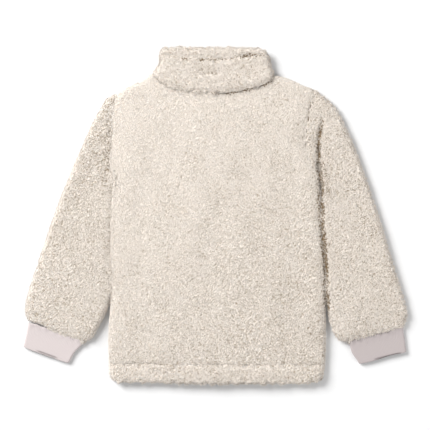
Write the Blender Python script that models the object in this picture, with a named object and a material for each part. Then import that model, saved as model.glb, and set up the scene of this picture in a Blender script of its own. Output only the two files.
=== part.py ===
"""A small child's sherpa fleece jacket, zipped up and laid flat with its back up.

Lengths are in millimetres until a mesh is made. +X is the wearer's right, +Y runs
to the collar and +Z is up, off the surface that the jacket lies on. Every cloth piece
is a wall between two grids of points: the outer face, which reaches as far as the pile
does, and the plain inner face. The grids are worked out from the pattern's outlines.
"""

import math
from collections import namedtuple

import bmesh
import bpy
import numpy as np

MM = 0.001

# Cloth
WALL = 5.0
"""Sherpa fleece, knitted ground and pile together."""
SEAM_GAP = 0.3
SIDE_CLEARANCE = 0.8
"""Room between the body's side fold and the sleeve that lies beside it."""
FOLD_WIDTH = 9.0
"""How far in from a soft fold the cloth keeps turning."""
FOLD_HEIGHT = 6.0
"""Height of the side, shoulder and underarm seams above the surface."""
BODY_THICKNESS = 12.0
SLEEVE_THICKNESS = 11.7
SLEEVE_OUTER_LIMITS = (8.4, 13.9)
SLEEVE_INNER_LIMITS = (5.7, 8.9)
"""Least and most height of the sleeve's upper layer, outside and inside."""
ARMHOLE_GROOVE = {"left": 0.8, "right": 1.2}
BODY_INNER = 7.0
LEAST_BODY_INNER = 6.4
"""Height of the hem's inner face, and the least that the back panel's comes down to."""
LEAST_BODY = 11.2
MOST_BODY = 13.8

# Body pattern
Point = namedtuple("Point", "x y")
SHOULDER_TIP = {"left": Point(-145.5, 181.0), "right": Point(145.5, 185.0)}
NECK_POINT = {"left": Point(-90.0, 211.0), "right": Point(88.5, 211.0)}
UNDERARM = {"left": Point(-154.5, 56.0), "right": Point(154.5, 56.0)}
HEM_SEAM = -222.5
HEM_BOTTOM = -252.0
FRONT_NECK_LOW = 148.0
SIDE = {
    "left": (Point(-159.0, HEM_SEAM), Point(-160.0, -172), Point(-156.5, -127), Point(-156.0, 20),
             UNDERARM["left"]),
    "right": (Point(165.0, HEM_SEAM), Point(166.5, -187), Point(165.8, -131), Point(164.3, -71),
              Point(159.8, -20), Point(159.0, 19), UNDERARM["right"]),
}
ARMHOLE = {
    "left": (UNDERARM["left"], Point(-155.3, 113), Point(-154.0, 153), SHOULDER_TIP["left"]),
    "right": (UNDERARM["right"], Point(143.5, 79), Point(136.5, 100), Point(134.5, 121), Point(139.5, 139),
              Point(144.0, 164), SHOULDER_TIP["right"]),
}
BACK_NECK = (NECK_POINT["left"], Point(-84.0, 204), Point(-69.0, 194), Point(-46.5, 190),
             Point(-21.0, 188.5), Point(10.5, 186.5), Point(33.0, 190), Point(52.5, 192),
             Point(67.5, 197), Point(82.0, 205), NECK_POINT["right"])

# Columns of the body's panels, as shares of the way from the left edge to the right edge
FOLD_TURNS = (0, 30, 60, 90)
"""Degrees at which a soft fold is sampled, from its edge to its flat."""
NECK_SHARES = (0, 0.05, 0.15, 0.275, 0.39, 0.5, 0.61, 0.725, 0.85, 0.95, 1)
SHOULDER_SHARES = (0.4, 0.7)

# Rows of the body's panels
UNDERARM_SHARE = 0.686
BACK_ROWS = (0, 0.016, 0.04, 0.1, 0.165, 0.23, 0.3, 0.37, 0.44, 0.51, 0.58, 0.65, 0.72, 0.79, 0.86, 0.93)
FRONT_ROWS = (0, 0.25, 0.5, 0.75)
ARMHOLE_SHARES = (0, 0.14, 0.28, 0.42, 0.56, 0.70, 0.83, 0.93, 0.965, 0.991, 1)
SHOULDER_FOLD_ROWS = {0.965: 60, 0.991: 30, 1: 0}
"""The rows that turn over the shoulder, with their degree of turn."""

# Folds of the laid cloth: soft ridges, and troughs where the height is negative
Fold = namedtuple("Fold", "x0 y0 x1 y1 reach height")
BODY_FOLDS = (
    Fold(-45, 143, -68, 68, 24, -0.8),
    Fold(-68, 68, -112, -29, 22, -1.0),
    Fold(-112, -29, -124, -127, 22, -0.8),
    Fold(-118, 110, -132, -10, 14, 1.1),
    Fold(-20, 60, -60, -90, 30, 0.8),
    Fold(60, 90, 96, -120, 32, 0.7),
    Fold(130, 40, 142, -150, 13, 0.8),
    Fold(-138, -40, -140, -180, 11, 0.9),
    Fold(20, -60, 60, -190, 26, -0.5),
)
SLEEVE_FOLDS = {
    "left": (
        Fold(-178, 72, -205, 14, 15, -1.3),
        Fold(-205, 14, -215, -40, 15, -0.7),
        Fold(-170, -30, -172, -110, 16, 0.5),
        Fold(-230, -60, -245, -120, 18, 0.6),
        Fold(-195, -125, -262, -105, 12, -0.6),
    ),
    "right": (
        Fold(158, 136, 153, 113, 6, -3.2),
        Fold(153, 113, 156, 84, 6, -3.2),
        Fold(156, 84, 156, 60, 6, -2.8),
        Fold(190, 70, 214, 0, 17, -0.9),
        Fold(236, -30, 262, -110, 18, 0.6),
        Fold(200, -110, 268, -96, 12, -0.6),
    ),
}

# Sleeves: the inner edge runs on from the underarm, the outer edge from the shoulder tip
SLEEVE_INNER_END = {
    "left": (Point(-157.8, -127), Point(-161.5, -142), Point(-172.5, -164), Point(-183.0, -179.5),
             Point(-195.0, -188.3)),
    "right": (Point(167.0, -131), Point(171.0, -157.5), Point(179.5, -177.5), Point(187.0, -186.3),
              Point(198.6, -188.6)),
}
SLEEVE_OUTER = {
    "left": (SHOULDER_TIP["left"], Point(-160.0, 173), Point(-172.0, 157), Point(-187.5, 127),
             Point(-207.0, 83), Point(-232.0, 23), Point(-253.0, -37), Point(-273.0, -97),
             Point(-283.5, -130), Point(-284.5, -146), Point(-279.5, -159.3)),
    "right": (SHOULDER_TIP["right"], Point(169.5, 173), Point(183.5, 157), Point(204.0, 113),
              Point(216.5, 83), Point(236.0, 23), Point(255.0, -37), Point(274.0, -97),
              Point(287.0, -138), Point(288.5, -153), Point(282.0, -166.2)),
}
SLEEVE_ROWS = (0, 0.03, 0.06, 0.1, 0.15, 0.21, 0.28, 0.35, 0.42, 0.49, 0.56, 0.63, 0.70, 0.77, 0.84, 0.9,
               0.95, 0.98, 1)
INNER_FOLD_SHARES = (0.009, 0.035, 0.07)
SLEEVE_END_THICKNESS = 8.2
SLEEVE_END_WALL = 3.4
SLEEVE_END_FROM = 0.86
"""Share of the sleeve's length from which it draws in to the cuff."""

# Rib-knit cuffs, folded double
Corners = namedtuple("Corners", "sleeve_inner sleeve_outer hand_inner hand_outer")
CUFF = {
    "left": Corners(Point(-195.0, -188.3), Point(-279.5, -159.3),
                    Point(-219.0, -222.2), Point(-288.0, -197.3)),
    "right": Corners(Point(198.6, -188.6), Point(282.0, -166.2),
                     Point(215.9, -223.1), Point(287.3, -205.8)),
}
CUFF_WALL = 2.6
CUFF_THICKNESS = 6.4
CUFF_FOLD_WIDTH = 3.4
CUFF_BOW = {"left": 1.5, "right": 0.5}
"""How far the cuff's inner edge bows in at its middle."""
RIBS_PER_FACE = 40
RIB_HEIGHT = 0.55
CUFF_ROWS = (0, 0.06, 0.5, 0.93, 1)
CUFF_EDGE_PULL = (1, 0.25, 0, 0.25, 1)
"""How much of a rib's height the cuff loses at each row, where it is sewn or turned."""

# Stand collar
COLLAR_SIDE = {
    "left": (NECK_POINT["left"], Point(-85.5, 221), Point(-82.5, 229), Point(-82.0, 239)),
    "right": (NECK_POINT["right"], Point(84.5, 221), Point(82.0, 229), Point(78.0, 239)),
}
COLLAR_BACK_TOP = (COLLAR_SIDE["left"][-1], Point(-77.5, 247), Point(-66.0, 251.8), Point(-20.0, 250.6),
                   Point(25.0, 251), Point(52.5, 250.5), Point(69.0, 246.5), COLLAR_SIDE["right"][-1])
COLLAR_FRONT_TOP = (COLLAR_SIDE["left"][-1], Point(-60.0, 224), Point(-28.0, 213), Point(0.0, 210),
                    Point(28.0, 213), Point(58.0, 224), COLLAR_SIDE["right"][-1])
CollarRow = namedtuple("CollarRow", "share overhang outer inner open")
COLLAR_ROWS = (
    CollarRow(0.0, 0.0, 12.4, 7.6, 1),
    CollarRow(0.0, 3.2, 13.0, 7.7, 1),
    CollarRow(0.0, 4.6, 14.8, 7.8, 1),
    CollarRow(0.0, 2.4, 16.6, 7.9, 1),
    CollarRow(0.08, 0.0, 17.4, 8.0, 1),
    CollarRow(0.22, 0.0, 16.8, 8.2, 1),
    CollarRow(0.40, 0.0, 15.2, 8.3, 1),
    CollarRow(0.60, 0.0, 16.2, 8.3, 1),
    CollarRow(0.72, 0.0, 15.8, 8.3, 1),
    CollarRow(0.78, 0.0, 14.0, 8.2, 1),
    CollarRow(0.84, 0.0, 15.8, 8.2, 1),
    CollarRow(0.93, 0.0, 16.0, 8.0, 1),
    CollarRow(0.98, 0.0, 15.8, 8.0, 0.62),
    CollarRow(1.0, 0.0, 15.6, 8.0, 0),
)
"""The collar's section up the centre back: share of its height, how far it hangs over the
seam, heights of its two faces, and how open the fold is between them."""
COLLAR_INNER_ROWS = (0, 4, 6, 9, 11, 12, 13)
"""The rows that the plain inner face keeps."""
COLLAR_FOLD_SHARE = 0.05

# Hem, turned up and stitched as a soft casing
HEM_CORNER = {"left": Point(-157.5, -239), "right": Point(162.5, -239)}
HEM_CURVE = {
    "left": (HEM_CORNER["left"], Point(-153.5, -246.5), Point(-146.0, -250.5), Point(-132.0, HEM_BOTTOM)),
    "right": (Point(137.0, HEM_BOTTOM), Point(150.0, -250.5), Point(158.0, -246.5), HEM_CORNER["right"]),
}
HemRow = namedtuple("HemRow", "share outer open")
HEM_ROWS = (
    HemRow(0.0, 10.6, 1),
    HemRow(0.10, 12.4, 1),
    HemRow(0.28, 14.0, 1),
    HemRow(0.62, 14.0, 1),
    HemRow(0.84, 13.6, 0.86),
    HemRow(0.95, 13.4, 0.55),
    HemRow(1.0, 13.2, 0),
)
"""The hem's section: share of its depth, height of its outer face, how open its fold is."""

# Front zip, closed, on the side that faces the surface
FRONT_EDGE = 5.5
"""From the centre front to the pile's edge on each side."""
TEETH_HALF = 2.6
TEETH_Z = (3.5, 6.1)
TAPE_WIDTH = 12.0
TAPE_Z = (5.3, 6.1)
ZIP_LOW = -239.5
ZIP_HIGH = 203.2
ZIP_BOX_LENGTH = 9.0
SLIDER_HALF = 4.2
SLIDER_Y = (195.0, 206.0)
PLATE = 1.0
POST = (1.5, 2.5)
"""Half width and length of the post between the slider's plates."""
HINGE_Y = 200.5
HINGE_Z = 1.35
BRIDGE_HALF = 0.9
BRIDGE_REACH = 3.4
BRIDGE_Z = (0.1, 0.65)
PULL_THICKNESS = 0.8
PULL_HALF = 3.4
PULL_ARM = 1.5
PULL_WINDOW = 4.6
PULL_LENGTH = 24.0

CREAM_PILE = (0.79, 0.70, 0.60)
CREAM_SHADE = (0.74, 0.65, 0.56)
RIB_KNIT = (0.72, 0.64, 0.62)
TAPE_CREAM = (0.66, 0.58, 0.49)
NICKEL = (0.62, 0.61, 0.59)


def clear_scene():
    for obj in list(bpy.data.objects):
        bpy.data.objects.remove(obj, do_unlink=True)


def material(name, colour, roughness, metallic=0.0):
    made = bpy.data.materials.new(name)
    made.use_nodes = True
    shader = made.node_tree.nodes["Principled BSDF"]
    shader.inputs["Base Color"].default_value = (*colour, 1.0)
    shader.inputs["Roughness"].default_value = roughness
    shader.inputs["Metallic"].default_value = metallic
    made.diffuse_color = (*colour, 1.0)
    return made


def curve(points, shares):
    """Points at these shares of the length of a smooth curve through the given ones."""
    line = np.array(points, float)
    ends = np.vstack([2 * line[0] - line[1], line, 2 * line[-1] - line[-2]])
    dense = [line[:1]]
    steps = np.linspace(0, 1, 17)[1:, None]
    for a, b, c, d in zip(ends, ends[1:], ends[2:], ends[3:]):
        slope_b = (c - a) / 2
        slope_c = (d - b) / 2
        cubic = 2 * b - 2 * c + slope_b + slope_c
        square = 3 * c - 3 * b - 2 * slope_b - slope_c
        dense.append(b + slope_b * steps + square * steps**2 + cubic * steps**3)
    dense = np.vstack(dense)
    run = np.concatenate([[0], np.cumsum(np.linalg.norm(np.diff(dense, axis=0), axis=1))])
    return np.stack([np.interp(np.array(shares) * run[-1], run, dense[:, k]) for k in (0, 1)], axis=1)


def curve_at_x(points, xs):
    """The smooth curve through the points, read at these x."""
    dense = curve(points, np.linspace(0, 1, 400))
    return np.stack([xs, np.interp(xs, dense[:, 0], dense[:, 1])], axis=1)


def moved_aside(points, distance):
    """A line moved to its left by a distance."""
    line = np.array(points, float)
    along = np.gradient(line, axis=0)
    normal = np.stack([-along[:, 1], along[:, 0]], axis=1)
    return line + distance * normal / np.linalg.norm(normal, axis=1)[:, None]


def patch(low, high, left, right, us, vs):
    """A grid of plan points, [row, column], between four border lines."""
    u = np.array(us)[None, :, None]
    v = np.array(vs)[:, None, None]
    across = (1 - u) * left[:, None] + u * right[:, None]
    up = (1 - v) * low[None] + v * high[None]
    corners = (1 - v) * ((1 - u) * low[0] + u * low[-1]) + v * ((1 - u) * high[0] + u * high[-1])
    return across + up - corners


def fold_sum(folds, plan):
    """The height that the folds add at each plan point."""
    total = np.zeros(plan.shape[:-1])
    for fold in folds:
        start = np.array([fold.x0, fold.y0], float)
        way = np.array([fold.x1, fold.y1], float) - start
        share = np.clip(((plan - start) @ way) / (way @ way), 0, 1)
        distance = np.linalg.norm(plan - start - share[..., None] * way, axis=-1)
        total += fold.height * np.exp(-((distance / fold.reach) ** 2))
    return total


def with_height(plan, height):
    return np.concatenate([plan, np.broadcast_to(height, plan.shape[:-1])[..., None]], axis=-1)


def face_rows(bm, rows_of_verts, closed):
    for low, high in zip(rows_of_verts, rows_of_verts[1:]):
        count = len(low) if closed else len(low) - 1
        for i in range(count):
            j = (i + 1) % len(low)
            corners = []
            for vert in (low[i], low[j], high[j], high[i]):
                if vert not in corners:
                    corners.append(vert)
            if len(corners) > 2:
                bm.faces.new(corners)


def finish_mesh(name, bm, surface):
    bmesh.ops.remove_doubles(bm, verts=bm.verts, dist=1e-6)
    bmesh.ops.triangulate(bm, faces=bm.faces)
    bmesh.ops.recalc_face_normals(bm, faces=bm.faces)
    mesh = bpy.data.meshes.new(name)
    bm.to_mesh(mesh)
    bm.free()
    mesh.materials.append(surface)
    mesh.shade_smooth()
    mesh.set_sharp_from_angle(angle=math.radians(50))
    obj = bpy.data.objects.new(name, mesh)
    bpy.context.scene.collection.objects.link(obj)
    return obj


def wall(name, outer, inner, surface, tube=False):
    """A closed wall between an outer and an inner grid: a panel, or a tube open at both ends."""
    bm = bmesh.new()
    outer_verts = [[bm.verts.new(point * MM) for point in row] for row in outer]
    inner_verts = [[bm.verts.new(point * MM) for point in row] for row in inner]
    face_rows(bm, outer_verts, tube)
    face_rows(bm, inner_verts, tube)
    face_rows(bm, [outer_verts[0], inner_verts[0]], tube)
    face_rows(bm, [outer_verts[-1], inner_verts[-1]], tube)
    if not tube:
        for end in (0, -1):
            rim = [row[end] for row in outer_verts] + [row[end] for row in reversed(inner_verts)]
            bm.faces.new(rim)
    return finish_mesh(name, bm, surface)


def turn(degrees):
    """How far out of its fold the cloth has come, 0 at the seam to 1 on the flat."""
    return math.sin(math.radians(degrees))


def turn_inset(degrees):
    """How far in from the fold's edge a turn lies, as a share of the fold's width."""
    return 1 - math.cos(math.radians(degrees))


def edge_shares(width):
    return [FOLD_WIDTH * turn_inset(degrees) / width for degrees in FOLD_TURNS]


def body_columns():
    """Shares across the back, with the degree of side turn of each column."""
    width = SHOULDER_TIP["right"].x - SHOULDER_TIP["left"].x
    neck_left = (NECK_POINT["left"].x - SHOULDER_TIP["left"].x) / width
    neck_right = (NECK_POINT["right"].x - SHOULDER_TIP["left"].x) / width
    edge = edge_shares(width)
    shares = edge + [neck_left * s for s in SHOULDER_SHARES]
    shares += [neck_left + (neck_right - neck_left) * s for s in NECK_SHARES]
    shares += [1 - (1 - neck_right) * s for s in reversed(SHOULDER_SHARES)]
    shares += [1 - s for s in reversed(edge)]
    flat = len(shares) - 2 * len(FOLD_TURNS)
    turns = list(FOLD_TURNS) + [90] * flat + list(reversed(FOLD_TURNS))
    return np.array(shares), np.array(turns)


def body_rows(lower):
    """Shares up the body, with the degree of shoulder turn of each row."""
    shares = [UNDERARM_SHARE * s for s in lower]
    shares += [UNDERARM_SHARE + (1 - UNDERARM_SHARE) * s for s in ARMHOLE_SHARES]
    turns = [90] * len(lower) + [SHOULDER_FOLD_ROWS.get(s, 90) for s in ARMHOLE_SHARES]
    return np.array(shares), np.array(turns)


def armhole(side):
    return curve(ARMHOLE[side], ARMHOLE_SHARES)


def body_edge(side, lower):
    return np.vstack([curve(SIDE[side], lower), armhole(side)])


def neck_xs(shares):
    left = NECK_POINT["left"].x
    return left + (NECK_POINT["right"].x - left) * np.array(shares)


def back_neck(xs):
    return curve_at_x(BACK_NECK, xs)


def front_neck(xs):
    """The front neckline, a half ellipse from neck point to neck point."""
    left = NECK_POINT["left"]
    half = (NECK_POINT["right"].x - left.x) / 2
    away = np.clip(np.abs(xs - left.x - half) / half, 0, 1)
    return np.stack([xs, left.y - (left.y - FRONT_NECK_LOW) * np.sqrt(1 - away**2)], axis=1)


def shoulder_line(side, xs):
    tip = SHOULDER_TIP[side]
    neck = NECK_POINT[side]
    ys = tip.y + (neck.y - tip.y) * (xs - tip.x) / (neck.x - tip.x)
    return np.stack([xs, ys], axis=1)


def body_top(xs, neckline):
    """The panel's upper border: shoulder, neckline, shoulder."""
    left = xs < NECK_POINT["left"].x - 1e-9
    right = xs > NECK_POINT["right"].x + 1e-9
    neck = ~left & ~right
    parts = [shoulder_line("left", xs[left]), neckline(xs[neck]), shoulder_line("right", xs[right])]
    return np.vstack([part for part in parts if len(part)])


def body_thickness(plan):
    """Height of the back's outer face: fuller beside the side folds, with its folds."""
    middle = (plan[:, :1, 0] + plan[:, -1:, 0]) / 2
    half = (plan[:, -1:, 0] - plan[:, :1, 0]) / 2
    edge = half - np.abs(plan[..., 0] - middle)
    puff = 0.9 * np.exp(-(((edge - 20) / 16) ** 2))
    return np.clip(BODY_THICKNESS + puff + fold_sum(BODY_FOLDS, plan), LEAST_BODY, MOST_BODY)


def side_turn(column_turns, row_shares):
    """The fold's turn at every grid point; above the underarm the panel's edge is open."""
    closed = (row_shares <= UNDERARM_SHARE + 1e-9)[:, None]
    return np.where(closed, column_turns[None], 90)


def top_turn(row_turns, xs):
    """The shoulder's turn at every grid point; the neckline is open between the neck points."""
    inside = (xs > NECK_POINT["left"].x + 1e-6) & (xs < NECK_POINT["right"].x - 1e-6)
    return np.where(inside[None], 90, row_turns[:, None])


def slid(line, distances):
    """Points of a line, each moved along it by its own distance."""
    run = np.concatenate([[0], np.cumsum(np.linalg.norm(np.diff(line, axis=0), axis=1))])
    return np.stack([np.interp(run + distances, run, line[:, k]) for k in (0, 1)], axis=1)


def inner_plan(plan, across, side, top, thickness):
    """The inner face's plan: drawn in from each fold by the wall's thickness.

    across is 1 for columns that lie by the row's first edge and -1 by its last."""
    inward = across * thickness * np.cos(np.radians(side))
    down = thickness * np.cos(np.radians(top))
    rows = np.array([slid(row, distance) for row, distance in zip(plan, inward)])
    columns = [slid(rows[:, c], -down[:, c]) for c in range(rows.shape[1])]
    return np.stack(columns, axis=1)


def back_panel(surface):
    us, column_turns = body_columns()
    vs, row_turns = body_rows(BACK_ROWS)
    xs = SHOULDER_TIP["left"].x + us * (SHOULDER_TIP["right"].x - SHOULDER_TIP["left"].x)
    high = body_top(xs, back_neck)
    low = hem_seam_line(us)
    plan = patch(low, high, body_edge("left", BACK_ROWS), body_edge("right", BACK_ROWS), us, vs)
    side = side_turn(column_turns, vs)
    top = top_turn(row_turns, xs)
    out = np.sin(np.radians(side)) * np.sin(np.radians(top))
    seam = FOLD_HEIGHT + SEAM_GAP / 2
    smooth = body_thickness(plan)
    outer = seam + (smooth - seam_groove(plan, us, vs) - seam) * out
    inner = seam + (np.maximum(smooth - WALL, LEAST_BODY_INNER) - seam) * out
    across = np.where(us < 0.5, 1, -1)[None]
    inside = inner_plan(plan, across, side, top, WALL)
    return wall("back", with_height(plan, outer), with_height(inside, inner), surface)


def seam_groove(plan, us, vs):
    """How far the pile dips at the hem, armhole and neck seams."""
    from_hem = plan[..., 1] - HEM_SEAM
    dip = 1.3 * np.exp(-((from_hem / 5) ** 2))
    armholes = (vs > UNDERARM_SHARE)[:, None]
    width = plan[:, -1:, 0] - plan[:, :1, 0]
    right = (1 - us)[None] * width
    left = us[None] * width
    dip = dip + armholes * (1.6 * np.exp(-((right / 6) ** 2)) + 0.8 * np.exp(-((left / 6) ** 2)))
    neck = plan[-1:, :, 1] - plan[..., 1]
    return dip + 1.0 * np.exp(-((neck / 6) ** 2))


def hem_seam_line(us):
    left = SIDE["left"][0]
    right = SIDE["right"][0]
    return np.stack([left.x + (right.x - left.x) * us, np.full(len(us), HEM_SEAM)], axis=1)


def front_columns(side):
    """Shares from the side edge to the centre front, with x at the top and the side turn."""
    tip = SHOULDER_TIP[side]
    neck = NECK_POINT[side]
    sign = -1 if side == "left" else 1
    width = abs(tip.x)
    edge = [tip.x - sign * width * s for s in edge_shares(width)]
    shoulder = [tip.x + (neck.x - tip.x) * SHOULDER_SHARES[-1]]
    near = [x for x in neck_xs(NECK_SHARES) if sign * x > FRONT_EDGE + 1]
    xs = np.array(sorted(edge + shoulder + near + [sign * FRONT_EDGE], key=lambda x: -sign * x))
    turns = np.array(list(FOLD_TURNS) + [90] * (len(xs) - len(FOLD_TURNS)))
    return xs, (xs - tip.x) / (sign * FRONT_EDGE - tip.x), turns, sign


def front_panel(side, surface):
    xs, us, column_turns, sign = front_columns(side)
    vs, row_turns = body_rows(FRONT_ROWS)
    high = body_top(np.sort(xs), front_neck)
    if side == "right":
        high = high[::-1]
    corner = SIDE[side][0]
    low = np.stack([corner.x + (sign * FRONT_EDGE - corner.x) * us, np.full(len(us), HEM_SEAM)], axis=1)
    centre = np.stack([np.full(len(vs), sign * FRONT_EDGE), HEM_SEAM + (high[-1, 1] - HEM_SEAM) * vs], axis=1)
    plan = patch(low, high, body_edge(side, FRONT_ROWS), centre, us, vs)
    turned = side_turn(column_turns, vs)
    top = top_turn(row_turns, xs)
    out = np.sin(np.radians(turned)) * np.sin(np.radians(top))
    seam = FOLD_HEIGHT - SEAM_GAP / 2
    outer = seam * (1 - out)
    inner = seam + (WALL - seam) * out
    inside = inner_plan(plan, 1, turned, top, WALL)
    return wall("front_" + side, with_height(plan, outer), with_height(inside, inner), surface)


def hem_border(xs):
    """The hem's lower border at these x, round at its two corners."""
    dense = np.vstack([curve(HEM_CURVE[side], np.linspace(0, 1, 60)) for side in ("left", "right")])
    return np.stack([xs, np.interp(xs, dense[:, 0], dense[:, 1])], axis=1)


def hem_grids(name, column_turns, low_x, high_x, across, back, surface):
    """A hem band: doubled cloth with a round fold at its lower edge."""
    shares = np.array([row.share for row in HEM_ROWS])
    low = hem_border(low_x)
    high = np.stack([high_x, np.full(len(high_x), HEM_SEAM - SEAM_GAP)], axis=1)
    plan = high[None] + (low - high)[None] * shares[:, None, None]
    side = np.broadcast_to(column_turns[None], plan.shape[:2])
    out = np.sin(np.radians(side))
    opened = np.array([row.open for row in HEM_ROWS])[:, None]
    if back:
        seam = FOLD_HEIGHT + SEAM_GAP / 2
        face = np.array([row.outer for row in HEM_ROWS])[:, None] + 0.5 * fold_sum(BODY_FOLDS, plan)
        inside_z = BODY_INNER
    else:
        seam = FOLD_HEIGHT - SEAM_GAP / 2
        face = np.zeros((len(HEM_ROWS), 1))
        inside_z = WALL
    outer = seam + (face - seam) * out
    inner = seam + (inside_z - seam) * out
    middle = (outer + inner) / 2
    outer = middle + (outer - middle) * opened
    inner = middle + (inner - middle) * opened
    inside = inner_plan(plan, across, side, np.full(side.shape, 90), WALL * opened)
    return wall(name, with_height(plan, outer), with_height(inside, inner), surface)


def hem_back(surface):
    us, column_turns = body_columns()
    left = HEM_CORNER["left"].x
    low_x = left + (HEM_CORNER["right"].x - left) * us
    across = np.where(us < 0.5, 1, -1)[None]
    return hem_grids("hem_back", column_turns, low_x, hem_seam_line(us)[:, 0], across, True, surface)


def hem_front(side, surface):
    _, us, column_turns, sign = front_columns(side)
    corner = SIDE[side][0]
    low_corner = HEM_CORNER[side]
    low_x = low_corner.x + (sign * FRONT_EDGE - low_corner.x) * us
    high_x = corner.x + (sign * FRONT_EDGE - corner.x) * us
    return hem_grids("hem_front_" + side, column_turns, low_x, high_x, 1, False, surface)


def ring(plan, turns, across, top, top_in, bottom_in, seam, thickness):
    """Closed outer and inner rings of a tube that lies flat, from plan points across it.

    turns holds the degree of turn of each point, across the way in from its edge."""
    out = np.sin(np.radians(turns))
    inside = slid(plan, across * thickness * np.cos(np.radians(turns)))
    upper = with_height(plan, seam + (top - seam) * out)
    lower = with_height(plan, seam - seam * out)
    upper_in = with_height(inside, seam + (top_in - seam) * out)
    lower_in = with_height(inside, seam + (bottom_in - seam) * out)
    return np.vstack([upper, lower[-2:0:-1]]), np.vstack([upper_in, lower_in[-2:0:-1]])


def sleeve_ring_shares():
    """Shares across the sleeve from its inner edge, with the degree of turn of each."""
    inner_turns = dict(zip(INNER_FOLD_SHARES, FOLD_TURNS[1:]))
    outer_turns = {0: 0, 0.965: 60, 0.991: 30, 1: 0}
    shares = sorted(ARMHOLE_SHARES + INNER_FOLD_SHARES)
    return np.array(shares), np.array([inner_turns.get(s, outer_turns.get(s, 90)) for s in shares])


def sleeve(side, surface):
    sign = -1 if side == "left" else 1
    ws, turns = sleeve_ring_shares()
    ts = np.array(SLEEVE_ROWS)
    seam_line = moved_aside(armhole(side), -sign * SEAM_GAP)
    first = np.stack([np.interp(ws, ARMHOLE_SHARES, seam_line[:, k]) for k in (0, 1)], axis=1)
    beside = [Point(p.x + sign * SIDE_CLEARANCE, p.y) for p in SIDE[side][::-1][1:]]
    stop = SLEEVE_INNER_END[side][0].y
    beside = [p for p in beside if p.y > stop + 15]
    inner_points = [Point(*first[0])] + beside + list(SLEEVE_INNER_END[side])
    outer_points = [Point(*first[-1])] + list(SLEEVE_OUTER[side][1:])
    inner_edge = curve(inner_points, ts)
    outer_edge = curve(outer_points, ts)
    last = inner_edge[-1] + (outer_edge[-1] - inner_edge[-1]) * ws[:, None]
    plan = patch(first, last, inner_edge, outer_edge, ws, ts)
    outer_rings = []
    inner_rings = []
    for row, t in zip(plan, ts):
        drawn = max(0.0, (t - SLEEVE_END_FROM) / (1 - SLEEVE_END_FROM)) ** 2
        thickness = WALL + (SLEEVE_END_WALL - WALL) * drawn
        seam = FOLD_HEIGHT + (SLEEVE_END_THICKNESS / 2 - FOLD_HEIGHT) * drawn
        puff = 1.1 * np.sin(math.pi * ws) + 0.4 * ws
        groove = ARMHOLE_GROOVE[side] * math.exp(-((t / 0.02) ** 2))
        full = SLEEVE_THICKNESS + puff + fold_sum(SLEEVE_FOLDS[side], row)
        end_in = SLEEVE_END_THICKNESS - thickness
        top = np.clip(full, *SLEEVE_OUTER_LIMITS) * (1 - drawn) + SLEEVE_END_THICKNESS * drawn
        top_in = np.clip(full - thickness, *SLEEVE_INNER_LIMITS) * (1 - drawn) + end_in * drawn
        across = np.where(ws < 0.5, 1, -1)
        outer, inner = ring(row, turns, across, top - groove, top_in, thickness, seam, thickness)
        outer_rings.append(outer)
        inner_rings.append(inner)
    return wall("sleeve_" + side, outer_rings, inner_rings, surface, tube=True)


def cuff(side, surface):
    """A folded rib tube. Its outer points alternate between rib and furrow."""
    corners = CUFF[side]
    seam_inner = np.array(corners.sleeve_inner)
    seam_outer = np.array(corners.sleeve_outer)
    away = np.array(corners.hand_inner) - seam_inner
    away = away / np.linalg.norm(away) * SEAM_GAP
    half = CUFF_THICKNESS / 2
    ribs = np.arange(2 * RIBS_PER_FACE + 1)
    ws = ribs / (2 * RIBS_PER_FACE)
    outer_rings = []
    inner_rings = []
    for share, pull in zip(CUFF_ROWS, CUFF_EDGE_PULL):
        start = seam_inner + away + (np.array(corners.hand_inner) - seam_inner - away) * share
        end = seam_outer + away + (np.array(corners.hand_outer) - seam_outer - away) * share
        start = start + np.array([math.sin(math.pi * share) * CUFF_BOW[side], 0])
        way = end - start
        width = np.linalg.norm(way)
        row = start + way * ws[:, None]
        from_edge = np.minimum(ws, 1 - ws) * width
        inset = np.clip(1 - from_edge / CUFF_FOLD_WIDTH, 0, 1)
        out = np.sqrt(1 - inset**2)
        furrow = RIB_HEIGHT * (1 - pull) * (ribs % 2) + 0.5 * RIB_HEIGHT * pull
        top = half + (half - furrow) * out
        bottom = half - half * out
        inward = np.where(ws < 0.5, 1, -1)[:, None] * (way / width)
        shift = CUFF_WALL * inset[:, None] * inward
        room = half - CUFF_WALL
        outer_rings.append(np.vstack([with_height(row, top), with_height(row, bottom)[-2:0:-1]]))
        upper = with_height(row + shift, half + room * out)
        lower = with_height(row + shift, half - room * out)
        inner_rings.append(np.vstack([upper, lower[-2:0:-1]]))
    return wall("cuff_" + side, outer_rings, [inner_rings[0], inner_rings[-1]], surface, tube=True)


def collar_columns():
    """Round the collar from centre front to centre front: share across, degree of turn, layer."""
    fold = [COLLAR_FOLD_SHARE * turn_inset(degrees) for degrees in FOLD_TURNS]
    neck = [s for s in NECK_SHARES if COLLAR_FOLD_SHARE < s < 1 - COLLAR_FOLD_SHARE]
    width = NECK_POINT["right"].x - NECK_POINT["left"].x
    edge_left = (-FRONT_EDGE - NECK_POINT["left"].x) / width
    edge_right = (FRONT_EDGE - NECK_POINT["left"].x) / width
    columns = [(edge_right, -90)]
    columns += [(s, -90) for s in neck if s > edge_right + 0.02]
    columns += [(1 - s, -d) for s, d in zip(reversed(fold), reversed(FOLD_TURNS))]
    columns += [(1 - s, d) for s, d in zip(fold[1:], FOLD_TURNS[1:])]
    columns += [(s, 90) for s in reversed(neck)]
    columns += [(s, d) for s, d in zip(reversed(fold), reversed(FOLD_TURNS))]
    columns += [(s, -d) for s, d in zip(fold[1:], FOLD_TURNS[1:])]
    columns += [(s, -90) for s in neck if s < edge_left - 0.02]
    columns += [(edge_left, -90)]
    return columns


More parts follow.
